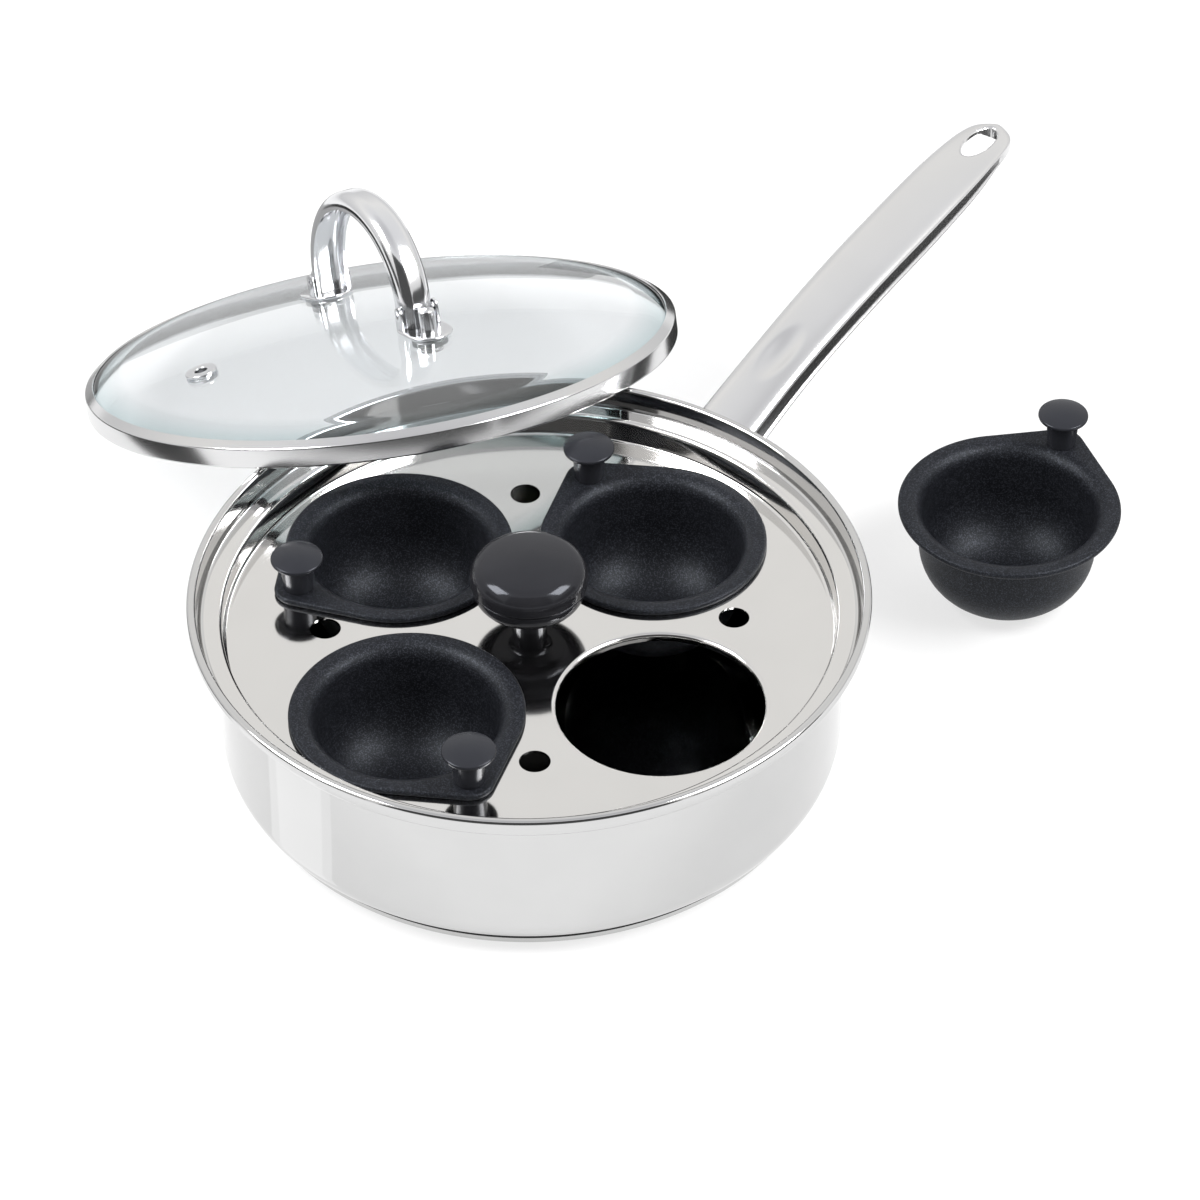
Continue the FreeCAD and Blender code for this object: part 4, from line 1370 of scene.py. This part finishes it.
@dataclass
class EggCup:
    """One coated cup with its knob; lengths in millimetres, its tip in degrees, the recess in metres."""

    maker: Maker
    name: str
    place: Vector
    tip: float
    wall: float = 0.9
    depth: float = 34.0
    mouth_radius: float = 29.4
    base_spread: float = 28.2
    bowl_round: float = 20.0
    flange_radius: float = 36.2
    flange_thick: float = 2.2
    flange_round: float = 1.0
    flange_lead: float = 3.0
    top_shares: tuple[float, ...] = (0.35, 0.7)
    under_share: float = 0.5
    mouth_round: float = 5.0
    neck_round: float = 1.5
    axis_gap: float = 0.02
    tip_reach: float = 37.0
    tip_radius: float = 7.6
    knob_radius: float = 8.2
    knob_height: float = 13.4
    stem_foot: float = 4.7
    stem_top: float = 5.4
    stem_round: float = 0.2
    knob_edge: float = 1.3
    knob_crown: float = 1.5
    knob_round: float = 0.6
    head_radius: float = 2.9
    head_depth: float = 1.3
    head_sink: float = 0.1
    shank_radius: float = 1.7
    overrun: float = 1.0
    recess_size: tuple[float, float, float] = (0.0032, 0.0007, 0.0009)
    steps: int = FINE_STEPS

    def reach(self, turn: float) -> float:
        """Distance from the bowl's axis to the flange's drop-shaped edge.

        Args:
            turn: Direction from the axis, in radians from the tip.

        Returns:
            The distance in that direction.
        """
        lean = math.acos((self.flange_radius - self.tip_radius) / self.tip_reach)
        turn = abs((turn + math.pi) % math.tau - math.pi)
        tip_corner = math.atan2(self.tip_radius * math.sin(lean),
                                self.tip_reach + self.tip_radius * math.cos(lean))
        if turn >= lean:
            return self.flange_radius
        if turn >= tip_corner:
            return self.flange_radius / math.cos(lean - turn)
        side = self.tip_reach * math.sin(turn)
        return self.tip_reach * math.cos(turn) + math.sqrt(self.tip_radius ** 2 - side ** 2)

    def bowl(self) -> bpy.types.Mesh:
        """The bowl and flange: rings that go from round at the mouth to drop-shaped at the edge.

        Returns:
            A closed mesh in millimetres.
        """
        inside = self.mouth_radius - self.wall
        floor = self.wall - self.depth
        inner = rounded([(self.axis_gap, floor, 0.0),
                         (self.base_spread - self.wall, floor, self.bowl_round - self.wall),
                         (inside, self.flange_thick, self.mouth_round),
                         (inside + 2 * self.mouth_round, self.flange_thick, 0.0)])[:-1]
        outer = rounded([(self.axis_gap, -self.depth, 0.0), (self.base_spread, -self.depth, self.bowl_round),
                         (self.mouth_radius, 0.0, self.neck_round),
                         (self.mouth_radius + 2 * self.neck_round, 0.0, 0.0)])[-2::-1]
        edge = rounded([(-self.flange_lead, self.flange_thick, 0.0),
                        (0.0, self.flange_thick, self.flange_round), (0.0, 0.0, self.flange_round),
                        (-self.flange_lead, 0.0, 0.0)])[1:-1]
        turns = full_turn(self.steps)
        reaches = [self.reach(turn) for turn in turns]
        flats = [reach - self.flange_round for reach in reaches]
        loops = []

        def ring(radii: Sequence[float], height: float) -> None:
            """Add one loop of points."""
            loops.append([Vector((radius * math.cos(turn), radius * math.sin(turn), height))
                          for radius, turn in zip(radii, turns)])

        for radius, height in inner:
            ring([radius] * self.steps, height)
        lip = inner[-1][0]
        for share in self.top_shares:
            ring([lip + share * (flat - lip) for flat in flats], self.flange_thick)
        for inset, height in edge:
            ring([reach + inset for reach in reaches], height)
        ring([self.mouth_radius + self.under_share * (flat - self.mouth_radius) for flat in flats], 0.0)
        for radius, height in outer:
            ring([radius] * self.steps, height)
        return grid_mesh("bowl", loops)

    def screw_room(self) -> bpy.types.Mesh:
        """The countersunk hole under the tip.

        Returns:
            A closed mesh in millimetres.
        """
        high = self.flange_thick + self.overrun
        outline = [(0.0, -self.overrun), (self.head_radius, -self.overrun), (self.head_radius, 0.0),
                   (self.shank_radius, self.head_depth), (self.shank_radius, high), (0.0, high)]
        mesh = self.maker.lathe(outline, Kit.CUP.value, SMALL_STEPS)
        mesh.transform(Matrix.Translation((self.tip_reach, 0.0, 0.0)))
        return mesh

    def knob(self) -> bpy.types.Mesh:
        """The knob on the tip: a tapered stem under a domed disc.

        Returns:
            A closed mesh in millimetres.
        """
        rim = self.knob_height - self.knob_crown
        under = rim - self.knob_edge
        outline = domed([(0.0, 0.0, 0.0), (self.stem_foot, 0.0, self.stem_round),
                         (self.stem_top, under, self.knob_round), (self.knob_radius, under, self.knob_round),
                         (self.knob_radius, rim, self.knob_round)], self.knob_crown)
        mesh = self.maker.lathe(outline, Kit.CUP_KNOB.value, SMALL_STEPS)
        mesh.transform(Matrix.Translation((self.tip_reach, 0.0, self.flange_thick)))
        return mesh

    def build(self) -> None:
        """Make and attach the cup's pieces."""
        body = f"cup_{self.name}"
        seat = Matrix.Translation(self.place) @ turned(self.tip)
        bowl = smooth(placed(cut(self.bowl(), [self.screw_room()]), seat))
        attach(f"{body}_bowl", bowl, Kit.CUP, body, body)
        knob = smooth(placed(self.knob(), seat))
        attach(f"{body}_grip", knob, Kit.CUP_KNOB, body, f"{body}_knob")
        head = Matrix.Scale(MM, 4) @ seat @ Matrix.Translation((self.tip_reach, 0.0, self.head_sink))
        head = Matrix.LocRotScale(head.translation, head.to_quaternion(), None)
        screw = self.maker.recess(cad_copy(f"{body}_screw"), head, self.recess_size, Kit.FASTENER.value)
        attach(f"{body}_bolt", smooth(screw), Kit.FASTENER, body, f"{body}_screw")


@dataclass
class Lid:
    """The glass lid, leaning on the rim; all lengths in millimetres and angles in degrees."""

    maker: Maker
    radius: float = 100.2
    band_sheet: float = 0.6
    band_foot: float = 2.6
    band_corner: float = 0.7
    band_top_round: float = 0.9
    band_lip: float = 2.8
    band_lip_gap: float = 0.15
    thick: float = 4.0
    dome_radius: float = 420.0
    shoulder_width: float = 11.6
    shoulder_round: float = 28.0
    seat_gap: float = 0.1
    lean_direction: float = 109.0
    lean_bite: float = 21.44
    lean_clearance: float = 0.3
    lean_rounds: int = 20
    rim_crest: float = 104.6
    rim_height: float = 63.7
    arch_turn: float = 14.0
    arch_radius: float = 33.196
    arch_rise: float = 41.0
    strip_width: float = 12.4
    strip_depth: float = 5.6
    strip_sheet: float = 1.0
    strip_round: float = 4.6
    leg_sink: float = 0.5
    boss_place: float = 36.696
    boss_radius: float = 3.0
    boss_height: float = 6.0
    boss_round: float = 0.9
    boss_crown: float = 0.3
    screw_bore: float = 1.8
    drill_reach: float = 20.0
    vent_radius: float = 65.5
    vent_turn: float = 102.0
    eyelet_flange: float = 5.4
    eyelet_tube: float = 3.4
    eyelet_bore: float = 2.2
    eyelet_sheet: float = 0.8
    eyelet_gap: float = 0.05
    eyelet_under_share: float = 0.6
    foot_top: float = 21.45
    foot_inner: float = 31.696
    foot_radius: float = 8.0
    foot_thick: float = 1.2
    foot_hub: float = 0.3
    foot_shares: tuple[float, ...] = (0.8, 0.6, 0.4, 0.2, 0.04)
    ear_width: float = 4.0
    ear_sheet: float = 1.0
    ear_height: float = 7.0
    ear_sink: float = 1.0
    ear_bevel: float = 0.15
    ear_fold: float = 57.3
    rivet_radius: float = 0.9
    overrun: float = 1.0
    dome_steps: int = 24
    shoulder_steps: int = 20
    arch_steps: int = 96
    leg_steps: int = 6
    edge_steps: int = 6
    ear_steps: int = 16

    def place(self) -> Matrix:
        """Where the lid leans: two points of its foot on the rim, its far edge on the table.

        Returns:
            The lid's place, in millimetres.
        """
        inner = self.radius - self.band_foot
        reach = inner - self.lean_bite
        chord = inner ** 2 - reach ** 2
        outer = self.radius - self.band_corner
        tilt = 0.0
        for _ in range(self.lean_rounds):
            climb = self.rim_height + self.lean_clearance - self.band_corner * (1 - math.cos(tilt))
            tilt = math.asin(climb / (reach + outer))
        away = math.sqrt(self.rim_crest ** 2 - chord) + reach * math.cos(tilt)
        height = outer * math.sin(tilt) + self.band_corner * (1 - math.cos(tilt))
        return (Matrix.Translation(polar(away, self.lean_direction, height))
                @ turned(self.lean_direction) @ Matrix.Rotation(tilt, 4, "Y"))

    def glass_edge(self) -> float:
        """Radius of the glass."""
        return self.radius - self.band_sheet - self.seat_gap

    def shoulder(self) -> tuple[float, float, float]:
        """The arc of the glass's shoulder.

        Returns:
            Radius and height of its centre, and the angle at which it starts.
        """
        start_radius = self.glass_edge() - self.shoulder_width
        start = math.asin(start_radius / self.dome_radius)
        across = start_radius - self.shoulder_round * math.sin(start)
        inner = self.shoulder_round - self.thick
        end = math.asin((self.glass_edge() - across) / inner)
        return across, self.band_sheet + self.seat_gap - inner * math.cos(end), start

    def dome_centre(self) -> float:
        """Height of the centre of the glass's dome."""
        _, height, start = self.shoulder()
        return height + (self.shoulder_round - self.dome_radius) * math.cos(start)

    def side(self, depth: float) -> list[Point]:
        """One face of the glass.

        Args:
            depth: How far it lies in from the upper face.

        Returns:
            Its points, from its axis to its edge.
        """
        across, height, start = self.shoulder()
        dome = self.dome_radius - depth
        bend = self.shoulder_round - depth
        centre = self.dome_centre()
        end = math.asin((self.glass_edge() - across) / bend)
        crown = [start * step / self.dome_steps for step in range(self.dome_steps)]
        turns = [start + (end - start) * step / self.shoulder_steps
                 for step in range(self.shoulder_steps + 1)]
        return ([(dome * math.sin(turn), centre + dome * math.cos(turn)) for turn in crown]
                + [(across + bend * math.sin(turn), height + bend * math.cos(turn)) for turn in turns])

    def top(self, radius: float) -> float:
        """Height of the glass's upper face.

        Args:
            radius: Distance from the lid's axis.

        Returns:
            The height there.
        """
        across, height, _ = self.shoulder()
        if radius > self.glass_edge() - self.shoulder_width:
            return height + math.sqrt(self.shoulder_round ** 2 - (radius - across) ** 2)
        return self.dome_centre() + math.sqrt(self.dome_radius ** 2 - radius ** 2)

    def on_glass(self, away: float, turn: float) -> Matrix:
        """A place on the glass's upper face, turned to face away from the axis."""
        return Matrix.Translation(polar(away, turn, self.top(away))) @ turned(turn)

    def vent_slant(self) -> float:
        """How far the glass slants at the steam vent."""
        return math.degrees(math.asin(self.vent_radius / self.dome_radius))

    def band(self) -> bpy.types.Mesh:
        """The steel band round the glass's edge.

        Returns:
            A closed mesh in millimetres.
        """
        lip = self.radius - self.band_lip
        edge = self.glass_edge()
        slope = (self.top(lip) - self.top(edge)) / (edge - lip)
        bulge = self.top((lip + edge) / 2) - (self.top(lip) + self.top(edge)) / 2
        high = self.top(lip) + self.band_sheet * math.hypot(1, slope) + self.band_lip_gap + bulge
        path = [(lip, high, 0.0), (self.radius, high - slope * self.band_lip, self.band_top_round),
                (self.radius, 0.0, self.band_corner), (self.radius - self.band_foot, 0.0, 0.0)]
        return self.maker.lathe(sheet_outline(path, self.band_sheet), Kit.BAND.value)

    def grip(self) -> bpy.types.Mesh:
        """The half-round channel bent to an arch, with its two legs.

        Returns:
            A closed mesh in millimetres.
        """
        half = self.strip_width / 2
        inside = -self.strip_depth
        path = [(inside, half, 0.0), (0.0, half, self.strip_round), (0.0, -half, self.strip_round),
                (inside, -half, 0.0)]
        outline = [(self.arch_radius + out, across) for out, across in sheet_outline(path, self.strip_sheet)]
        pivot = self.top(0.0) + self.arch_rise - self.arch_radius
        foot = self.foot_top - self.leg_sink
        leg = [foot + (pivot - foot) * step / self.leg_steps for step in range(self.leg_steps)]
        stations = [(0.0, height) for height in leg]
        stations += [(math.pi * step / self.arch_steps, pivot) for step in range(self.arch_steps + 1)]
        stations += [(math.pi, height) for height in reversed(leg)]
        return grid_mesh("grip", [[Vector((out * math.cos(turn), across, height + out * math.sin(turn)))
                                   for out, across in outline] for turn, height in stations])

    def foot(self) -> bpy.types.Mesh:
        """The oval plate under one leg: it follows the glass and has a soft edge.

        Returns:
            A closed mesh in millimetres.
        """
        def ring(radius: float, lift: float) -> list[Vector]:
            """One oval loop over the glass.

            Args:
                radius: Radius of its round ends.
                lift: Height over the glass.

            Returns:
                Its points.
            """
            loop = []
            for turn in full_turn(SMALL_STEPS):
                hub = self.boss_place if math.cos(turn) > 0 else self.foot_inner
                spot = Vector((hub + radius * math.cos(turn), radius * math.sin(turn)))
                loop.append(Vector((*spot, self.top(spot.length) + lift)))
            return loop

        soft = self.foot_thick / 2
        flat = self.foot_radius - soft
        arcs = [math.pi / 2 * step / self.edge_steps for step in range(self.edge_steps + 1)]
        loops = [ring(self.foot_hub, self.seat_gap), ring(flat + soft / 2, self.seat_gap)]
        loops += [ring(flat + soft * math.cos(turn), soft * (1 + math.sin(turn))) for turn in arcs]
        loops += [ring(flat * share, self.foot_thick) for share in self.foot_shares]
        return grid_mesh("foot", loops)

    def tab(self, outline: Sequence[Point], ends: Sequence[float]) -> bpy.types.Mesh:
        """An upright outline beside a leg, drawn out sideways.

        Args:
            outline: Its points, along the arch from the leg's middle and in height.
            ends: Where it starts and ends, sideways.

        Returns:
            A closed mesh in millimetres.
        """
        middle = self.arch_radius - self.strip_depth / 2
        return grid_mesh("tab", [[Vector((middle + out, across, height)) for out, height in outline]
                                 for across in ends])

    def ear(self, side: int) -> bpy.types.Mesh:
        """One ear that holds a leg: a round-topped tab with a rivet hole.

        Args:
            side: 1 or -1, for the side of the leg.

        Returns:
            A closed mesh in millimetres.
        """
        half = self.ear_width / 2
        low = self.foot_top - self.ear_sink
        high = self.foot_top + self.ear_height - half
        near = self.strip_width / 2 + self.seat_gap
        far = near + self.ear_sheet
        arc = [math.pi * step / self.ear_steps for step in range(self.ear_steps + 1)]
        outline = [(half * math.cos(turn), high + half * math.sin(turn)) for turn in arc]
        outline += [(-half, low), (half, low)]
        hole = [(self.rivet_radius * math.cos(turn), high + self.rivet_radius * math.sin(turn))
                for turn in full_turn(2 * self.ear_steps)]
        tab = self.tab(outline, (side * near, side * far))
        drill = self.tab(hole, (side * (near - self.overrun), side * (far + self.overrun)))
        least = math.radians(self.ear_fold)

        def soften(work: bmesh.types.BMesh) -> None:
            """Round the ear's folds."""
            folds = [edge for edge in work.edges if edge.is_manifold and edge.calc_face_angle(0.0) > least]
            bmesh.ops.bevel(work, geom=folds, offset=self.ear_bevel, segments=2, affect="EDGES", profile=0.5)

        return edit(cut(tab, [drill]), soften)

    def drills(self) -> list[bpy.types.Mesh]:
        """What drills the glass for its two screws and its vent.

        Returns:
            Closed meshes in millimetres.
        """
        end = self.drill_reach
        found = []
        for away, turn, radius, slant in (
                (self.boss_place, self.arch_turn, self.screw_bore, 0.0),
                (self.boss_place, self.arch_turn + 180.0, self.screw_bore, 0.0),
                (self.vent_radius, self.vent_turn, self.eyelet_tube + self.seat_gap, self.vent_slant())):
            rod = [(0.0, -end), (radius, -end), (radius, end), (0.0, end)]
            mesh = self.maker.lathe(rod, Kit.GLASS.value, SMALL_STEPS)
            mesh.transform(self.on_glass(away, turn) @ turned(slant, "Y"))
            found.append(mesh)
        return found

    def eyelet(self) -> bpy.types.Mesh:
        """The flanged eyelet of the steam vent, at the origin.

        Returns:
            A closed mesh in millimetres.
        """
        top = self.eyelet_sheet + self.eyelet_gap
        low = top - self.thick - 2 * self.eyelet_gap - 2 * self.eyelet_sheet
        roll = self.eyelet_sheet / 2
        lower = low + self.eyelet_sheet
        upper = top - self.eyelet_sheet
        corners = [(self.eyelet_bore, low, 0.0), (self.eyelet_flange, low, roll * self.eyelet_under_share),
                   (self.eyelet_flange, lower, 0.0), (self.eyelet_tube, lower, 0.0),
                   (self.eyelet_tube, upper, 0.0), (self.eyelet_flange, upper, 0.0),
                   (self.eyelet_flange, top, roll), (self.eyelet_bore, top, roll)]
        return self.maker.lathe(rounded(corners, True), Kit.GRIP.value, SMALL_STEPS)

    def post(self) -> bpy.types.Mesh:
        """The post of one foot, standing on the glass; its origin is on the foot's top.

        Returns:
            A closed mesh in millimetres.
        """
        base = self.top(self.boss_place) - self.foot_top
        outline = domed([(0.0, base, 0.0), (self.boss_radius, base, 0.0),
                         (self.boss_radius, self.boss_height, self.boss_round)], self.boss_crown)
        return self.maker.lathe(outline, Kit.GRIP.value, SMALL_STEPS)

    def build(self) -> None:
        """Make and attach the lid's pieces."""
        lean = self.place()
        glass = self.maker.lathe(self.side(0.0) + self.side(self.thick)[::-1], Kit.GLASS.value)
        glass = cut(glass, self.drills())
        attach("lid_dome", smooth(placed(glass, lean)), Kit.GLASS, "lid", "lid_glass")
        attach("lid_rim_band", smooth(placed(self.band(), lean)), Kit.BAND, "lid", "lid_band")
        grip = smooth(placed(self.grip(), lean @ turned(self.arch_turn)))
        attach("lid_arch_grip", grip, Kit.GRIP, "lid", "lid_handle")
        vent = self.on_glass(self.vent_radius, self.vent_turn) @ turned(self.vent_slant(), "Y")
        eyelet = smooth(placed(self.eyelet(), lean @ vent))
        attach("lid_steam_eyelet", eyelet, Kit.GRIP, "lid", "lid_vent_eyelet")
        for end, turn in (("rear", self.arch_turn), ("front", self.arch_turn + 180.0)):
            self.build_end(end, lean @ turned(turn))

    def build_end(self, end: str, place: Matrix) -> None:
        """Make and attach what holds one end of the grip.

        Args:
            end: The end's name.
            place: The lid's place, turned to this end.
        """
        spot = place @ Matrix.Translation((self.boss_place, 0.0, self.foot_top))
        post = smooth(placed(self.post(), spot))
        attach(f"lid_post_{end}", post, Kit.GRIP, "lid", f"lid_boss_{end}")
        foot = smooth(placed(joined([self.foot(), self.ear(1), self.ear(-1)]), place))
        attach(f"lid_foot_piece_{end}", foot, Kit.GRIP, "lid", f"lid_foot_{end}")
        for part, finish, slot in (("washer", Kit.WASHER, "washer_rubber"),
                                   ("screw", Kit.FASTENER, "fastener_steel")):
            node = f"lid_{part}_{end}"
            attach(f"lid_{part}_piece_{end}", smooth(cad_copy(node)), finish, "lid", node)


@dataclass
class CupPlaces:
    """Where the cups are; lengths in millimetres and angles in degrees."""

    tray: Tray
    loose_away: float = 171.4
    loose_turn: float = 25.13
    loose_tip: float = 58.5
    seated: tuple[tuple[str, float, Corner], ...] = (
        ("rear_right", 123.0, (1.092, -1.204, 0.0)),
        ("rear_left", 213.0, (-1.596, -1.512, 0.0)),
        ("front_left", 302.0, (0.588, -2.212, 0.0)))

    def find(self) -> dict[str, tuple[Vector, float]]:
        """Each cup's place: the loose one beside the pan, the others in the tray's holes in order.

        Returns:
            By the cup's name, its flange's underside and the way its tip points.
        """
        tray = self.tray
        found = {"loose": (polar(self.loose_away, self.loose_turn, EggCup.depth), self.loose_tip)}
        for hole, (name, tip, shift) in enumerate(self.seated):
            centre = polar(tray.hole_circle, tray.first_hole + hole * tray.pitch(), tray.height)
            found[name] = (centre + Vector(shift), tip)
        return found


@dataclass(frozen=True)
class FloorCard:
    """A card that lies on the floor and shows only in reflections: painted shade, or a painted highlight
    where it glows; lengths in metres.
    """

    name: str
    spots: tuple[Point, ...]
    # glow of a painted highlight card; zero or low for a painted shade card
    glow: float = 0.0
    height: float = 0.0004

    def corners(self) -> list[Corner]:
        """Its corners in order."""
        return [(across, along, self.height) for across, along in self.spots]


@dataclass(frozen=True)
class WallCard:
    """A dark card that stands upright between two spots and shows only in reflections, as painted shade;
    lengths in metres.
    """

    name: str
    start: Point
    end: Point
    low: float
    high: float
    glow: float = 0.06

    def corners(self) -> list[Corner]:
        """Its corners in order."""
        return [(*self.start, self.low), (*self.end, self.low),
                (*self.end, self.high), (*self.start, self.high)]


# Painted reflections: dark cards are painted shade and glowing cards painted highlights, shown only in
# reflections and never seen by the camera.
PAINTED_REFLECTION_CARDS = (
    # painted shade: dark card that darkens the handle's side in its reflection
    FloorCard("painted_shade_card_by_handle", ((0.13, 0.10), (0.26, 0.10), (0.32, 0.27), (0.19, 0.27))),
    # painted shade: dark card on the floor to the left, seen only in reflections
    FloorCard("painted_shade_card_left", ((-0.52, -0.02), (-0.22, -0.02), (-0.22, 0.30), (-0.52, 0.30))),
    # painted shade: dark card on the floor behind, seen only in reflections
    FloorCard("painted_shade_card_behind", ((0.048, 0.12), (0.152, 0.26), (0.13, 0.50), (0.0, 0.33))),
    # painted shade: grey, faintly glowing card behind the lid, seen only in reflections
    FloorCard("painted_shade_card_behind_lid", ((-0.193, 0.193), (0.034, 0.271), (0.021, 0.430), (-0.282, 0.326)),
              glow=0.42),
    # painted highlight: glowing cards that put the bright patch into the pan wall's reflection; they light
    # nothing else
    FloorCard("painted_highlight_card_left", ((-0.084, -0.054), (-0.065, -0.077), (-0.165, -0.096), (-0.177, -0.012)),
              glow=1.24),
    FloorCard("painted_highlight_card_left_core", ((-0.082, -0.058), (-0.068, -0.074), (-0.165, -0.085), (-0.176, -0.024)),
              glow=1.34, height=0.0008),
    # painted shade: dark upright cards in front and at the sides, seen only in reflections
    WallCard("painted_shade_card_front", (-1.3, -1.35), (1.3, -1.35), low=0.13, high=2.3),
    WallCard("painted_shade_card_side", (-1.3, -1.2), (-1.3, -0.1), low=0.10, high=0.5),
    WallCard("painted_shade_card_far_side", (1.3, -1.2), (1.3, 0.1), low=0.10, high=0.5))


@dataclass
class Studio:
    """Floor, light and camera; lengths in metres and angles in degrees."""

    floor_size: float = 16.0
    floor_glow: float = 0.68
    floor_pale: float = 0.25
    sheet_roughness: float = 0.9
    # paleness of the painted shade and highlight cards
    card_pale: float = 0.02
    box_size: float = 0.6
    box_power: float = 19.0
    left_box: Corner = (-0.85, -0.10, 1.0)
    right_box: Corner = (0.87, -0.19, 0.96)
    tent: tuple[tuple[float, Colour], ...] = (
        (0.0, (0.78, 0.78, 0.785)), (0.30, (0.90, 0.895, 0.89)), (0.55, (1.06, 1.045, 1.02)),
        (0.70, (1.0, 0.995, 0.985)), (0.85, (0.95, 0.95, 0.96)), (1.0, (0.70, 0.70, 0.72)))
    eye: Corner = (0.02187, -1.09654, 0.99874)
    pitch: float = 40.61
    roll: float = -0.43
    lens: float = 139.8
    sensor: float = 36.0

    def sheet(self, name: str, corners: Sequence[Corner], glow: float, pale: float) -> bpy.types.Object:
        """A flat sheet of the stage.

        Args:
            name: Its name.
            corners: Its four corners.
            glow: Its own light.
            pale: Its paleness.

        Returns:
            The sheet.
        """
        mesh = bpy.data.meshes.new(name)
        mesh.from_pydata(corners, [], [(0, 1, 2, 3)])
        material = bpy.data.materials.new(name)
        material.use_nodes = True
        graph = Graph(material.node_tree)
        shader = graph.node("ShaderNodeBsdfPrincipled", None, {
            "Base Color": (pale, pale, pale), "Roughness": self.sheet_roughness, "Specular IOR Level": 0.0,
            "Emission Color": (1.0, 1.0, 1.0), "Emission Strength": glow})
        graph.node("ShaderNodeOutputMaterial", None, {"Surface": graph.value(shader)})
        mesh.materials.append(material)
        sheet = added(name, mesh)
        return sheet

    def floor(self) -> None:
        """A plain pale floor."""
        half = self.floor_size / 2
        corners = [(-half, -half, 0.0), (half, -half, 0.0), (half, half, 0.0), (-half, half, 0.0)]
        self.sheet("floor", corners, self.floor_glow, self.floor_pale)

    def cards(self) -> None:
        """Dark and bright cards out of the picture, which only reflections show: painted shade and painted
        highlights.
        """
        for given in PAINTED_REFLECTION_CARDS:
            card = self.sheet(given.name, given.corners(), given.glow, self.card_pale)
            card.visible_camera = False
            card.visible_diffuse = False
            card.visible_transmission = False
            card.visible_shadow = False

    def sky(self) -> None:
        """A pale tent, brightest part of the way up."""
        world = bpy.data.worlds.new("studio")
        bpy.context.scene.world = world
        world.use_nodes = True
        graph = Graph(world.node_tree)
        _, _, height = graph.axes(graph.value(graph.node("ShaderNodeTexCoord"), "Generated"))
        tent = graph.node("ShaderNodeValToRGB", {"stops": self.tent}, {0: height})
        back = graph.node("ShaderNodeBackground", None, {"Color": graph.value(tent), "Strength": 1.0})
        graph.node("ShaderNodeOutputWorld", None, {0: graph.value(back)})

    def boxes(self) -> None:
        """A soft box on each side."""
        for name, place in (("left_box", self.left_box), ("right_box", self.right_box)):
            light = bpy.data.lights.new(name, "AREA")
            light.shape = "SQUARE"
            light.size = self.box_size
            light.energy = self.box_power
            lamp = added(name, light)
            lamp.location = place
            lamp.rotation_euler = (-Vector(place)).to_track_quat("-Z", "Y").to_euler()
            lamp.visible_camera = False

    def camera(self) -> None:
        """The photograph's view."""
        pitch = math.radians(self.pitch)
        roll = math.radians(self.roll)
        ahead = Vector((0.0, math.cos(pitch), -math.sin(pitch)))
        right = Vector((1.0, 0.0, 0.0))
        upward = right.cross(ahead)
        side = right * math.cos(roll) + upward * math.sin(roll)
        data = bpy.data.cameras.new("camera")
        data.sensor_width = self.sensor
        data.lens = self.lens
        camera = added("camera", data)
        columns = Matrix((side, side.cross(ahead), -ahead)).transposed()
        camera.matrix_world = Matrix.Translation(self.eye) @ columns.to_4x4()
        bpy.context.scene.camera = camera

    def build(self) -> None:
        """Set the whole stage."""
        self.floor()
        self.cards()
        self.sky()
        self.boxes()
        self.camera()
        bpy.context.scene.view_settings.view_transform = "Standard"


def main() -> None:
    """Build every sub-assembly in order, then the stage, logging each piece's face count."""
    logging.basicConfig(level=logging.INFO, format="%(name)s %(message)s")
    maker = Maker()
    Pan(maker).build()
    tray = Tray(maker)
    tray.build()
    for name, (place, tip) in CupPlaces(tray).find().items():
        EggCup(maker, name, place, tip).build()
    Lid(maker).build()
    Studio().build()


if __name__ == "__main__":
    main()
